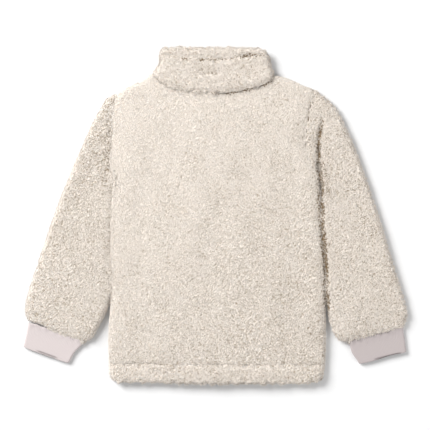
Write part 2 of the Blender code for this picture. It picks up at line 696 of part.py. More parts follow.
def collar_top_x(x):
    """Where a column that starts at x on the neckline ends; the zip's edges stay upright."""
    side = "left" if x < 0 else "right"
    top = abs(COLLAR_SIDE[side][-1].x) - FRONT_EDGE
    neck = abs(NECK_POINT[side].x) - FRONT_EDGE
    past = abs(x) - FRONT_EDGE
    return math.copysign(FRONT_EDGE + past * (top / neck if past > 0 else 1), x)


def collar(surface):
    """One band from centre front round the back to centre front, its top edge turned."""
    columns = collar_columns()
    keys = neck_xs(NECK_SHARES)
    front_edge = sorted(set(NECK_SHARES) | {c[0] for c in (columns[0], columns[-1])})
    front_keys = neck_xs(front_edge)
    seams = {
        1: (keys, moved_aside(back_neck(keys), SEAM_GAP)),
        -1: (front_keys, moved_aside(front_neck(front_keys), SEAM_GAP)),
    }
    tops = {1: COLLAR_BACK_TOP, -1: COLLAR_FRONT_TOP}
    heights = [row.share for row in COLLAR_ROWS]
    sides = {side: curve(COLLAR_SIDE[side], heights) for side in ("left", "right")}
    outer = np.zeros((len(COLLAR_ROWS), len(columns), 3))
    inner = np.zeros_like(outer)
    for c, (share, degrees) in enumerate(columns):
        layer = -1 if degrees < 0 else 1
        xs, seam = seams[layer]
        x = neck_xs([share])[0]
        low = np.array([np.interp(x, xs, seam[:, k]) for k in (0, 1)])
        high = curve_at_x(tops[layer], np.array([collar_top_x(x)]))[0]
        out = abs(turn(degrees))
        inward = math.cos(math.radians(degrees)) * (1 if share < 0.5 else -1)
        for r, row in enumerate(COLLAR_ROWS):
            straight = low + (high - low) * row.share
            ends = low * 0
            for side, weight in (("left", 1 - share), ("right", share)):
                chord = sides[side][0] + (sides[side][-1] - sides[side][0]) * row.share
                ends = ends + weight * (sides[side][r] - chord)
            plan = straight + ends
            if layer > 0:
                plan = plan - np.array([0, row.overhang * out**2])
                face = FOLD_HEIGHT + (row.outer - FOLD_HEIGHT) * out
                back = FOLD_HEIGHT + (row.inner - FOLD_HEIGHT) * out
            else:
                face = FOLD_HEIGHT * (1 - out)
                back = FOLD_HEIGHT + (WALL - FOLD_HEIGHT) * out
            middle = (face + back) / 2
            shift = 0.5 * WALL * inward
            height = middle + (face - middle) * row.open
            outer[r, c] = (plan[0] + shift * (1 - row.open), plan[1], height)
            height = middle + (back - middle) * row.open
            inner[r, c] = (plan[0] + shift * (1 + row.open), plan[1], height)
    return wall("collar", outer, inner[list(COLLAR_INNER_ROWS)], surface)


def box(name, x, y, z, surface):
    """A block between two values on each axis."""
    bm = bmesh.new()
    bmesh.ops.create_cube(bm, size=1)
    for vert in bm.verts:
        for axis, (low, high) in enumerate((x, y, z)):
            vert.co[axis] = (low if vert.co[axis] < 0 else high) * MM
    return finish_mesh(name, bm, surface)


def united(base, others):
    """One body out of a block and those that overlap it."""
    for other in others:
        joint = base.modifiers.new("join", "BOOLEAN")
        joint.operation = "UNION"
        joint.object = other
    bpy.context.view_layer.update()
    graph = bpy.context.evaluated_depsgraph_get()
    mesh = bpy.data.meshes.new_from_object(base.evaluated_get(graph))
    base.modifiers.clear()
    base.data = mesh
    for other in others:
        bpy.data.objects.remove(other, do_unlink=True)
    return base


def zip_pieces(tape, metal):
    teeth = box("zip_teeth", (-TEETH_HALF, TEETH_HALF), (ZIP_LOW + SEAM_GAP, ZIP_HIGH), TEETH_Z, tape)
    near = TEETH_HALF + SEAM_GAP
    far = near + TAPE_WIDTH
    made = [
        teeth,
        box("zip_tape_left", (-far, -near), (ZIP_LOW + SEAM_GAP, SLIDER_Y[1] + 1), TAPE_Z, tape),
        box("zip_tape_right", (near, far), (ZIP_LOW + SEAM_GAP, SLIDER_Y[1] + 1), TAPE_Z, tape),
        box("zip_box", (-SLIDER_HALF, SLIDER_HALF), (ZIP_LOW - ZIP_BOX_LENGTH, ZIP_LOW), TEETH_Z, metal),
    ]
    made.append(zip_slider(metal))
    made.append(zip_pull(metal))
    return made


def zip_slider(metal):
    """Two plates round the teeth, the post between them and the bridge that holds the pull."""
    outer_plate = (TEETH_Z[0] - SEAM_GAP - PLATE, TEETH_Z[0] - SEAM_GAP)
    inner_plate = (TEETH_Z[1] + SEAM_GAP, TEETH_Z[1] + SEAM_GAP + PLATE)
    wide = (-SLIDER_HALF, SLIDER_HALF)
    narrow = (-BRIDGE_HALF, BRIDGE_HALF)
    overlap = 0.2
    post_end = SLIDER_Y[1] - 0.1
    parts = [
        box("inner plate", wide, SLIDER_Y, inner_plate, metal),
        box("post", (-POST[0], POST[0]), (post_end - POST[1], post_end),
            (outer_plate[1] - overlap, inner_plate[0] + overlap), metal),
        box("bridge", narrow, (HINGE_Y - BRIDGE_REACH, HINGE_Y + BRIDGE_REACH), BRIDGE_Z, metal),
    ]
    leg = (BRIDGE_Z[0] + overlap, outer_plate[0] + overlap)
    leg_half = BRIDGE_HALF - 0.05
    for sign in (-1, 1):
        near = HINGE_Y + sign * (BRIDGE_REACH - 1)
        far = HINGE_Y + sign * (BRIDGE_REACH - 0.05)
        parts.append(box("leg", (-leg_half, leg_half), (min(near, far), max(near, far)), leg, metal))
    return united(box("zip_slider", wide, SLIDER_Y, outer_plate, metal), parts)


def zip_pull(metal):
    """A tab with a window at one end. It swings on the window's end bar, under the bridge."""
    xs = (-PULL_HALF, -PULL_HALF + PULL_ARM, PULL_HALF - PULL_ARM, PULL_HALF)
    half = PULL_THICKNESS / 2
    ys = (half, -half, -PULL_WINDOW, -PULL_LENGTH + 2, -PULL_LENGTH)
    bm = bmesh.new()
    rows = []
    for y in ys:
        draw_in = 0.55 if y == ys[-1] else 1
        rows.append([bm.verts.new((x * draw_in * MM, y * MM, -half * MM)) for x in xs])
    for j in range(len(ys) - 1):
        for i in range(len(xs) - 1):
            if (j, i) != (1, 1):
                bm.faces.new((rows[j][i], rows[j][i + 1], rows[j + 1][i + 1], rows[j + 1][i]))
    raised = bmesh.ops.extrude_face_region(bm, geom=bm.faces[:])
    lifted = [item for item in raised["geom"] if isinstance(item, bmesh.types.BMVert)]
    bmesh.ops.translate(bm, verts=lifted, vec=(0, 0, PULL_THICKNESS * MM))
    pull = finish_mesh("zip_pull", bm, metal)
    pull.location = (0, HINGE_Y * MM, HINGE_Z * MM)
    return pull


def stand_on_origin(pieces):
    """Hangs every piece on an empty that brings the middle of the laid jacket to X0 Y0."""
    corners = []
    for piece in pieces:
        place = np.array(piece.location)
        corners += [np.array(vert.co) + place for vert in piece.data.vertices]
    corners = np.array(corners)
    middle = (corners.min(axis=0) + corners.max(axis=0)) / 2
    jacket = bpy.data.objects.new("jacket", None)
    bpy.context.scene.collection.objects.link(jacket)
    jacket.location = (-middle[0], -middle[1], 0)
    for piece in pieces:
        piece.parent = jacket


def main():
    clear_scene()
    pile = material("sherpa fleece", CREAM_PILE, 0.95)
    hem_pile = material("sherpa fleece, hem", CREAM_SHADE, 0.95)
    knit = material("rib knit", RIB_KNIT, 0.85)
    tape = material("woven zip tape", TAPE_CREAM, 0.7)
    metal = material("plated zinc", NICKEL, 0.35, 1.0)
    pieces = [back_panel(pile), collar(pile), hem_back(hem_pile)]
    for side in ("left", "right"):
        pieces += [front_panel(side, pile), hem_front(side, hem_pile), sleeve(side, pile), cuff(side, knit)]
    pieces += zip_pieces(tape, metal)
    stand_on_origin(pieces)


main()
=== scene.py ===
"""A small child's sherpa fleece jacket, zipped up and laid flat with its back up, in a white studio.

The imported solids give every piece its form. This script gives them their cloth: the curly pile of the
fleece, the fine rib of the cuffs, and the zip on the underside. Sizes in named values are millimetres.
+X is the wearer's right, +Y runs to the collar and +Z is up, off the table.
"""

import math
from collections import namedtuple

import bmesh
import bpy
import numpy as np
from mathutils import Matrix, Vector
from mathutils.bvhtree import BVHTree


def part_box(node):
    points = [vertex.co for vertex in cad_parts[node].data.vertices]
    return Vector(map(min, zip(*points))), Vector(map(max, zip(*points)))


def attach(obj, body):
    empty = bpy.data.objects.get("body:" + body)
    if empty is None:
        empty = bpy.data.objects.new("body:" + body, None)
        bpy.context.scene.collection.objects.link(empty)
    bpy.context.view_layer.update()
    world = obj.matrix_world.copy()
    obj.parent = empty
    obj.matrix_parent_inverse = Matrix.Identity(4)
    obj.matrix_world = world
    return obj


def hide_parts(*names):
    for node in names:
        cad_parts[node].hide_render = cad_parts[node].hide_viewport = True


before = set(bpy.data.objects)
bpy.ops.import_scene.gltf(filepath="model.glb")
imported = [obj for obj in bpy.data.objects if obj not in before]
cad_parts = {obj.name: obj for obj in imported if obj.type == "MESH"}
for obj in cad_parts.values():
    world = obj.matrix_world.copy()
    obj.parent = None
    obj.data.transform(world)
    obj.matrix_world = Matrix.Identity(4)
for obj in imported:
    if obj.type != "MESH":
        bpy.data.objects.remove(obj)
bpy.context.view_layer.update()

bl_info = {
    "name": "Sherpa fleece jacket",
    "version": (1, 0, 0),
    "blender": (4, 5, 0),
    "location": "View3D > Sidebar > Jacket",
    "description": "Dresses the solids of a laid-out fleece jacket with pile, rib knit and a coil zip",
    "category": "Object",
}

MM = 0.001
MERGE = 0.01
"""Points nearer than this, in millimetres, are one point."""
RIM_ANGLE = 55
"""Two faces that meet at more than this, in degrees, meet at the cut edge of a wall."""
BODY = "jacket"
PULL_BODY = "pull"
SHERPA = "sherpa_fleece_curled_polyester"
SPLIT_IN_THREE = 2.6
"""An edge longer than this many spacings is split in three."""
SPLIT_IN_TWO = 1.5
"""An edge longer than this many spacings is split in two."""

# A crease's shade is painted shade: how far the colour along its line is darkened, in seams, gaps and deep
# creases.
Crease = namedtuple("Crease", "line reach height shade")
Nudge = namedtuple("Nudge", "x y dx dy reach")
SideTug = namedtuple("SideTug", "line dx dy reach")
Cut = namedtuple("Cut", "width length area")
Corners = namedtuple("Corners", "sleeve_inner sleeve_outer hand_inner hand_outer")

COLLAR_ROLL = ((-86, 202), (-60, 190), (-30, 184.5), (0, 183), (30, 185.5), (60, 192), (84, 202))
"""The edge of the collar's roll, where it lies on the back panel."""
BODY_CREASES = (
    Crease(((-44, 143), (-68, 68), (-90, 20)), 12, -0.6, 0),
    Crease(((-30, 150), (-46, 120)), 8, 0.5, 0),
    Crease(((-120, -150), (-96, -206)), 10, -0.5, 0),
    Crease(((-3, -205), (5, -222)), 5, -0.8, 0),
    Crease(((20, -180), (34, -222)), 9, -0.4, 0),
    Crease(((78, -170), (92, -220)), 11, 0.5, 0),
    Crease(((118, -120), (132, -208)), 10, -0.6, 0),
    Crease(((-100, 160), (-60, 176)), 10, -0.5, 0),
    Crease(((50, 168), (96, 158)), 10, -0.5, 0),
    Crease(((110, 120), (124, 60)), 9, -0.5, 0),
    # These paint shade too: a painted shadow under the collar's roll, browner at its right half, painted
    # shade in the right armhole seam, and down the gap where the back lies over the right sleeve.
    Crease(COLLAR_ROLL, 8, 2.1, 0.45),
    Crease(((-112, 212), (-86, 202), (-60, 190), (-30, 184.5), (10, 183)), 7, 1.6, 0),
    Crease(((-10, 183), (20, 184), (50, 189.5), (76, 198), (90, 206)), 7, 0.3, 1.15),
    Crease(((146, 172), (141, 155), (140, 136), (136, 122), (137, 96)), 5, -0.9, 0.95),
    Crease(((-153, 100), (-154, 56), (-155, -20), (-157, -130)), 7, 1.3, 0),
    Crease(((151.5, 94), (153.5, 74), (157, 40), (160, -20), (164, -70), (166.5, -126), (167, -152)),
           7.5, 0, 2.0),
)
SLEEVE_CREASES = (
    Crease(((-196, 30), (-176, -20)), 8, -0.6, 0),
    Crease(((-250, -80), (-214, -96)), 8, -0.6, 0),
    Crease(((-240, -120), (-206, -140)), 8, 0.6, 0),
    Crease(((-172, -70), (-196, -120)), 9, -0.6, 0),
    Crease(((-216, -160), (-232, -125)), 6, -0.9, 0),
    Crease(((-246, -150), (-254, -115)), 6, -0.9, 0),
    # These paint shade: down the gap between the right sleeve and the back, specks of shade beside it, and
    # a broad speckled shade on the left sleeve beside the armhole.
    Crease(((160, 146), (157.5, 130), (154.5, 108), (154, 76), (156.5, 46), (158, 20)), 5.6, -4.2, 2.1),
    Crease(((154.5, 90), (157.5, 50), (160.5, -20), (164.5, -70), (167, -126), (167.5, -152)),
           6.5, -1.4, 2.0),
    Crease(((164, 100), (165, 60), (167, 14)), 24, 0, 0.5),
    Crease(((-160, 150), (-162, 90), (-162, 30)), 28, 0, 0.45),
    Crease(((-156, 70), (-156, 0), (-157, -60), (-158, -116)), 9, -1.6, 0),
    Crease(((190, 60), (176, 6)), 9, -0.6, 0),
    Crease(((214, -40), (238, -64)), 8, -0.6, 0),
    Crease(((176, -60), (198, -110)), 9, -0.5, 0),
    Crease(((212, -170), (222, -132)), 6, -0.8, 0),
    Crease(((244, -160), (246, -124)), 6, -0.8, 0),
    Crease(((268, -152), (262, -122)), 5, -0.7, 0),
)
BRISTLY_LINES = (
    ((158.5, 136), (154, 90), (157, 46), (160.5, -20), (165, -70), (167.5, -130)),
    ((-155, 60), (-156, 0), (-157, -60), (-158, -110)),
    COLLAR_ROLL,
)
"""Between each sleeve and the body and under the collar's roll, where loose pile reaches over the gap."""
COLLAR_CREASES = (
    Crease(((-96, 208), *COLLAR_ROLL), 8, -1.6, 0),
    # These paint shade along the stitched groove near the collar's top, darkest at its right, and in a
    # trough below it.
    Crease(((-71, 238), (-45, 233.5), (-18, 232), (17, 233.5), (37, 236.5), (52, 239.5), (70, 239.5)),
           6, -1.3, 0.7),
    Crease(((10, 233), (37, 236.5), (52, 239.5), (74, 239.5)), 5, -0.3, 1.1),
    Crease(((-36, 214), (-12, 212), (32, 213)), 10, -1.3, 0.4),
    Crease(((-70, 228), (-62, 205)), 6, -0.5, 0),
    Crease(((58, 232), (66, 206)), 7, -0.5, 0),
    Crease(((14, 230), (10, 218)), 5, -0.4, 0),
)
HEM_CREASES = (
    # These paint shade along the hem's seam and in one crease below it.
    Crease(((-158, -223.5), (-60, -222), (40, -223), (164, -223)), 3.5, -0.5, 0.5),
    Crease(((-3, -226), (4, -240)), 4, -0.9, 0.5),
    Crease(((-80, -228), (-84, -244)), 5, -0.6, 0),
    Crease(((52, -228), (58, -246)), 6, -0.6, 0),
    Crease(((112, -230), (106, -246)), 5, -0.5, 0),
)
NUDGES = (
    Nudge(-77, 246, -3.0, 1.0, 12),
    Nudge(69, 246, 3.6, 1.6, 12),
    Nudge(-94, 209, -3.5, 2.5, 10),
    Nudge(115, 202, 1.5, 3.4, 20),
    Nudge(145, 187, 2.6, 3.4, 16),
    Nudge(-127, 193, -1.4, 2.4, 14),
    Nudge(-158, 177, -2.0, 1.8, 14),
    Nudge(-105, -252, 0, 2.4, 40),
    Nudge(-207, -208, -3.0, 1.0, 12),
    Nudge(-183, -184, 1.0, -3.0, 11),
    Nudge(207, -207, -3.0, 0, 11),
    Nudge(262, -213, 0, 2.0, 15),
    Nudge(179, -180, -1.0, -2.5, 9),
    Nudge(245, -20, 1.2, 0.4, 45),
)
"""Where the laid cloth was tugged out of its pattern: a place, how far it moves, and its reach."""
SIDE_TUGS = {
    "sleeve_left": (SideTug(((-156, 56), (-156, 0), (-157, -60), (-159, -106)), 9.0, 0, 15),
                    SideTug(((-284, -160), (-262, -166)), -0.5, 2.6, 14)),
    "sleeve_right": (SideTug(((157, 50), (160, -20), (165, -70), (167, -126)), -1.3, 0, 7),),
    "back": (SideTug(((-155, 80), (-156, 0), (-157, -60), (-159, -110)), -2.8, 0, 6),
             SideTug(((157, 50), (160, -20), (164, -70), (166, -126)), 1.0, 0, 6)),
}
"""Along the body's sides the back panel's fold lies over the edge of each sleeve."""
RAGGED = {"collar": 9, "hem_back": 12, "sleeve_right": 8}
"""Pieces whose edges waver, and over what length."""
CUFF = {
    "left": Corners((-195.0, -188.3), (-279.5, -159.3), (-219.0, -222.2), (-288.0, -197.3)),
    "right": Corners((198.6, -188.6), (282.0, -166.2), (215.9, -223.1), (287.3, -205.8)),
}
CUFF_PAINTED_SHADE = {"left": 0.12, "right": 0.48}
# How much painted shade greys each cuff's knit; the right cuff lies in the sleeve's shade.
"""How greyed each cuff's knit is."""
MOUTH_OPEN = {"left": (0.24, 0.74), "right": (0.3, 0.9)}
"""The share of each cuff's width over which its mouth stands a little open."""
SLIT_ALONG = 0.94
"""Where the dark line at the mouth lies, as a share of the way along the cuff."""
SLIT_WIDTH = 0.028
PILE_DEPTH = {"collar": 1.2, "hem_back": 1.0, "sleeve_left": 0.95, "sleeve_right": 1.0}
"""The pile is deeper and less brushed down there than on the back."""
TOUSLE = {
    "back": (0.95, 0.12),
    "hem_back": (1.0, 0.05),
    "collar": (0.96, 0),
    "sleeve_left": (1.03, -0.06),
    "sleeve_right": (1.05, 0),
}
# How tousled the pile is in the middle of a piece, and how that grows to the lower right; more tousle means
# deeper bumps and more painted shade in the furrows.
"""How tousled the pile is in the middle of a piece, and how that grows to the lower right."""
SEAM_REACH = 2.5
"""The pile closes over a seam where the next piece is nearer than this."""
SEWN_TO = {
    "back": (("sleeve_left", 1.8), ("sleeve_right", 1.7), ("hem_back", 1.4),
             ("front_left", 0.6), ("front_right", 0.6)),
    "hem_back": (("back", 1.4), ("hem_front_left", 0.6), ("hem_front_right", 0.6)),
    "front_left": (("sleeve_left", 0.7), ("hem_front_left", 0.7), ("back", 0.6), ("collar", 1.4)),
    "front_right": (("sleeve_right", 0.7), ("hem_front_right", 0.7), ("back", 0.6), ("collar", 1.4)),
    "hem_front_left": (("front_left", 0.7), ("hem_back", 0.6)),
    "hem_front_right": (("front_right", 0.7), ("hem_back", 0.6)),
    "sleeve_left": (("back", 1.8), ("front_left", 0.7), ("cuff_left", 4.0)),
    "sleeve_right": (("back", 1.7), ("front_right", 0.7), ("cuff_right", 4.0)),
    "collar": (("back", 2.2), ("front_left", 1.4), ("front_right", 1.4)),
}
"""What each piece is sewn to, and how far its pile reaches over to it."""


def linear(hex_colour):
    """The linear colour of an sRGB hex value."""
    channels = [int(hex_colour[i:i + 2], 16) / 255 for i in (0, 2, 4)]
    return tuple(c / 12.92 if c <= 0.04045 else ((c + 0.055) / 1.055) ** 2.4 for c in channels)


def colour_property(name, description, hex_colour):
    return bpy.props.FloatVectorProperty(
        name=name, description=description, subtype="COLOR", size=3, min=0, max=1,
        default=linear(hex_colour))


def length_property(name, description, millimetres):
    return bpy.props.FloatProperty(
        name=name, description=description, unit="LENGTH", min=0, default=millimetres * MM)


class JacketFleece(bpy.types.PropertyGroup):
    curl_spacing: length_property("Curl spacing", "From one curl of the pile to the next", 3.3)
    curl_height: length_property(
        "Curl height", "How far the curls stand up from the furrows between them", 0.48)
    fibre_length: length_property("Fibre length", "Loose fibres that stand out of the pile", 3.6)
    fibre_thickness: length_property("Fibre thickness", "A few filaments that cling together", 0.5)
    tip: colour_property("Curl colour", "Cream polyester at the top of a curl", "ECE2D7")
    # Painted shade: the colour painted into the furrows between the curls.
    furrow: colour_property("Furrow colour", "The shaded ground between the curls", "9D8A70")
    # Painted shade: the dark colour that the creases' painted shade mixes in along seams, gaps and deep
    # creases.
    painted_shade: colour_property(
        "Ground colour", "Deep in a seam, where the knitted ground is in the dark", "78613F")
    lining: colour_property("Back of the cloth", "The knitted ground inside the jacket", "D8CEC0")


class JacketKnit(bpy.types.PropertyGroup):
    ribs: bpy.props.IntProperty(
        name="Ribs", description="Ribs over one face of a cuff", min=8, default=40)
    rib_depth: length_property("Rib depth", "From the top of a rib down to its valley", 0.22)
    colour: colour_property("Knit colour", "Cream rib knit with a little pink in it", "D8CECD")


class JacketZip(bpy.types.PropertyGroup):
    tooth_pitch: length_property("Tooth pitch", "From one turn of the coil to the next", 1.4)
    tape: colour_property("Tape colour", "Woven polyester tape", "E3D8C8")
    coil: colour_property("Coil colour", "Nylon monofilament", "E0D4C2")


class JacketStage(bpy.types.PropertyGroup):
    view_width: length_property("View width", "What the camera takes in at the table", 645.0)
    camera_height: length_property("Camera height", "From the table up to the camera", 2600.0)
    table: colour_property("Table colour", "Matt white laminate", "EAEAEA")
    key_power: bpy.props.FloatProperty(
        name="Key light", description="Power of the soft light at the upper left",
        unit="POWER", min=0, default=236.0)
    fill_power: bpy.props.FloatProperty(
        name="Reflector", description="Power of the weak low light at the right",
        unit="POWER", min=0, default=20.0)
    sky_strength: bpy.props.FloatProperty(
        name="Sky", description="Brightness of the white room", min=0, default=0.45)


def node_form(name):
    """A copy of a CAD node's mesh, merged, with its triangles joined in pairs."""
    form = bmesh.new()
    form.from_mesh(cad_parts[name].data)
    for layer in list(form.loops.layers.uv):
        form.loops.layers.uv.remove(layer)
    bmesh.ops.remove_doubles(form, verts=form.verts, dist=MERGE * MM)
    bmesh.ops.join_triangles(form, faces=form.faces, angle_face_threshold=math.radians(50),
                             angle_shape_threshold=math.radians(180))
    return form


def crease_rims(form, hold):
    """Keeps the cut edges of a wall square, as far as hold says, when the form is rounded."""
    layer = form.edges.layers.float.new("crease_edge")
    form.normal_update()
    for edge in form.edges:
        if len(edge.link_faces) == 2 and edge.calc_face_angle() > math.radians(RIM_ANGLE):
            edge[layer] = hold


def rounded(form, levels):
    """The same closed form with its facets rounded by a subdivision surface."""
    mesh = bpy.data.meshes.new("rounding")
    form.to_mesh(mesh)
    form.free()
    helper = bpy.data.objects.new("rounding", mesh)
    bpy.context.scene.collection.objects.link(helper)
    surface = helper.modifiers.new("rounding", "SUBSURF")
    surface.levels = levels
    surface.render_levels = levels
    graph = bpy.context.evaluated_depsgraph_get()
    finished = bpy.data.meshes.new_from_object(helper.evaluated_get(graph))
    form = bmesh.new()
    form.from_mesh(finished)
    bpy.data.objects.remove(helper)
    bpy.data.meshes.remove(mesh)
    bpy.data.meshes.remove(finished)
    return form


def faces_inside(form):
    """Whether each face looks across a hollow at its own piece's wall, as the inside of a tube does."""
    tree = BVHTree.FromBMesh(form)
    reach = 40 * MM
    step = 0.05 * MM
    return [tree.ray_cast(f.calc_center_median() + f.normal * step, f.normal, reach)[0] is not None
            for f in form.faces]


def refine(form, spacings, tube):
    """Splits the faces until their edges reach the spacing of the side they are on."""
    for _ in range(4):
        form.normal_update()
        inside = faces_inside(form) if tube else [False] * len(form.faces)
        long_edges = {2: set(), 1: set()}
        for face, hidden in zip(form.faces, inside):
            spacing = spacings["hidden" if hidden else "top" if face.normal.z > -0.3 else "under"] * MM
            for edge in face.edges:
                length = edge.calc_length()
                if length > SPLIT_IN_THREE * spacing:
                    long_edges[2].add(edge)
                elif length > SPLIT_IN_TWO * spacing:
                    long_edges[1].add(edge)
        cuts = 2 if long_edges[2] else 1
        if not long_edges[cuts]:
            break
        bmesh.ops.subdivide_edges(form, edges=list(long_edges[cuts]), cuts=cuts, use_grid_fill=True)
    bmesh.ops.triangulate(form, faces=form.faces)


def smoothed(values, ends, rounds, moving):
    """Values at the points, averaged along the mesh's edges, where moving says how far each may go."""
    a, b = ends[:, 0], ends[:, 1]
    count = len(values)
    neighbours = np.bincount(a, minlength=count) + np.bincount(b, minlength=count)
    moving = np.broadcast_to(moving, count)[:, None]
    for _ in range(rounds):
        total = np.stack([np.bincount(a, values[b, i], count) + np.bincount(b, values[a, i], count)
                          for i in range(values.shape[1])], axis=1)
        values = values + (total / neighbours[:, None] - values) * moving
    return values


def wave_field(points, wavelength, count, seed):
    """A smooth random field of unit spread and one main wavelength, summed from waves every way."""
    draw = np.random.default_rng(seed)
    turn = draw.uniform(0, 2 * math.pi, count)
    tilt = draw.uniform(-0.45, 0.45, count)
    number = 2 * math.pi / (wavelength * draw.uniform(0.85, 1.15, count))
    phase = draw.uniform(0, 2 * math.pi, count)
    flat = np.sqrt(1 - tilt ** 2)
    waves = np.stack([np.cos(turn) * flat, np.sin(turn) * flat, tilt]) * number
    total = np.zeros(len(points))
    for i in range(count):
        total += np.cos(points @ waves[:, i] + phase[i])
    return total * math.sqrt(2 / count)


def curls(points, spacing, seed):
    """Height of the curly pile, from 0 in a furrow to 1 on a curl: fat worms with knots on them."""
    bend = np.stack([wave_field(points, 3.4 * spacing, 20, seed + i) for i in (1, 2, 3)], axis=1)
    bent = points + bend * 0.25 * spacing
    worm = 1 - np.exp(-(wave_field(bent, 2.1 * spacing, 48, seed + 4) / 0.5) ** 2)
    knot = 0.5 + 0.5 * np.tanh(1.4 * wave_field(bent, 0.86 * spacing, 64, seed + 5))
    return np.clip(0.35 * worm + 0.65 * knot, 0, 1)


def line_distance(points, line):
    """How far each point is from a line of places, seen from above, and its share of the way along it."""
    flat = points[:, :2] / MM
    nearest = np.full(len(flat), np.inf)
    share = np.zeros(len(flat))
    legs = len(line) - 1
    for i in range(legs):
        start = np.array(line[i], float)
        along = np.array(line[i + 1], float) - start
        on = np.clip((flat - start) @ along / (along @ along), 0, 1)
        away = np.linalg.norm(flat - start - on[:, None] * along, axis=1)
        closer = away < nearest
        nearest[closer] = away[closer]
        share[closer] = (i + on[closer]) / legs
    return nearest, share


def crease_relief(points, creases):
    """The height that soft creases add at each point, and how much painted shade they put on it."""
    height = np.zeros(len(points))
    shade = np.zeros(len(points))
    if not creases:
        return height, shade
    waver = 0.75 + 0.25 * wave_field(points, 24 * MM, 12, 31)
    rough = wave_field(points, 4.5 * MM, 32, 32)
    for crease in creases:
        away, share = line_distance(points, crease.line)
        across = np.exp(-(away / (0.6 * crease.reach)) ** 2)
        ragged = away + 0.16 * crease.reach * rough
        middle = np.clip(0.35 + 3 * np.minimum(share, 1 - share), 0, 1)
        height += crease.height * MM * across * middle * waver
        if crease.shade:
            narrow = np.exp(-(ragged / (0.5 * crease.reach)) ** 2)
            shade = np.maximum(shade, crease.shade * narrow * middle * np.clip(waver + 0.1, 0, 1))
    return height, shade


def laid_out(points, name):
    """The points moved as the cloth was tugged when it was laid out, all layers together."""
    flat = points[:, :2] / MM
    move = np.zeros_like(flat)
    for nudge in NUDGES:
        away = np.linalg.norm(flat - np.array([nudge.x, nudge.y]), axis=1)
        move += np.exp(-(away / nudge.reach) ** 2)[:, None] * np.array([nudge.dx, nudge.dy])
    for tug in SIDE_TUGS.get(name, ()):
        away, _ = line_distance(points, tug.line)
        move += np.exp(-(away / tug.reach) ** 2)[:, None] * np.array([tug.dx, tug.dy])
    if name in RAGGED:
        along = RAGGED[name] * MM
        move[:, 0] += 0.5 * wave_field(points, along, 20, 91)
        move[:, 1] += 0.8 * wave_field(points, along, 20, 92)
    moved = points.copy()
    moved[:, :2] += move * MM
    return moved


def object_from(form, name, material):
    """A finished piece: the form as a mesh object at the origin, smooth shaded, with its material."""
    mesh = bpy.data.meshes.new(name)
    form.to_mesh(mesh)
    form.free()
    mesh.shade_smooth()
    mesh.materials.append(material)
    piece = bpy.data.objects.new(name, mesh)
    bpy.context.scene.collection.objects.link(piece)
    return piece


def mesh_arrays(mesh):
    """The mesh's points, normals and edge ends as arrays."""
    count = len(mesh.vertices)
    points = np.empty(count * 3)
    mesh.vertices.foreach_get("co", points)
    normals = np.empty(count * 3, np.float32)
    mesh.vertex_normals.foreach_get("vector", normals)
    ends = np.empty(len(mesh.edges) * 2, np.int32)
    mesh.edges.foreach_get("vertices", ends)
    return points.reshape(-1, 3), normals.reshape(-1, 3).astype(float), ends.reshape(-1, 2)


def set_points(mesh, points):
    mesh.vertices.foreach_set("co", points.ravel())
    mesh.update()


def point_attribute(mesh, name, values):
    attribute = mesh.attributes.new(name, "FLOAT", "POINT")
    attribute.data.foreach_set("value", values.astype(np.float32))


def settled(mesh, name, hidden, rounds):
    """Evens out the side of a piece that shows, and moves the piece as it was laid out. Gives the mesh's
    arrays as they are then."""
    points, _, ends = mesh_arrays(mesh)
    points = smoothed(points, ends, rounds, 0.5 * (hidden < 0.5))
    set_points(mesh, laid_out(points, name))
    return mesh_arrays(mesh)


def hidden_share(mesh, tube, under):
    """1 at points that only face the inside of the jacket, 0 at points that show."""
    form = bmesh.new()
    form.from_mesh(mesh)
    form.normal_update()
    if tube:
        hidden = faces_inside(form)
    elif under:
        hidden = [face.normal.z > 0.8 for face in form.faces]
    else:
        hidden = [face.normal.z < -0.8 for face in form.faces]
    share = np.zeros(len(form.verts))
    uses = np.zeros(len(form.verts))
    for face, inside in zip(form.faces, hidden):
        for vert in face.verts:
            share[vert.index] += inside
            uses[vert.index] += 1
    form.free()
    return share / np.maximum(uses, 1)


def seam_push(points, normals, name):
    """How far each point reaches out to the piece it is sewn to, so that pile closes over the seam."""
    push = np.zeros(len(points))
    for other, reach in SEWN_TO[name]:
        form = bmesh.new()
        form.from_mesh(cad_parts[other].data)
        tree = BVHTree.FromBMesh(form)
        form.free()
        low, high = (np.array(corner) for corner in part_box(other))
        near = np.all((points > low - SEAM_REACH * MM) & (points < high + SEAM_REACH * MM), axis=1)
        for i in np.flatnonzero(near):
            place = Vector(points[i])
            found, _, _, distance = tree.find_nearest(place, SEAM_REACH * MM)
            if found is None:
                continue
            facing = 1.0
            if distance > 1e-6:
                facing = max(0.0, Vector(normals[i]).dot((found - place) / distance))
            share = (1 - distance / (SEAM_REACH * MM)) * facing
            push[i] = max(push[i], share * reach * MM)
    return push * np.clip(1 + 0.45 * wave_field(points, 9 * MM, 24, 51), 0.2, 2.0)


def tousle(points, name):
    """How tousled the pile is: brushed smooth at the body's upper left, wilder to the lower right. More
    tousle deepens the curls' bump and the painted shade in their furrows.
    """
    level, slope = TOUSLE.get(name, (0.9, 0))
    towards = (points[:, 0] - points[:, 1]) / (250 * MM)
    patches = 0.03 * wave_field(points, 60 * MM, 12, 81)
    return np.clip(level + slope * towards + patches, 0.3, 1.8)


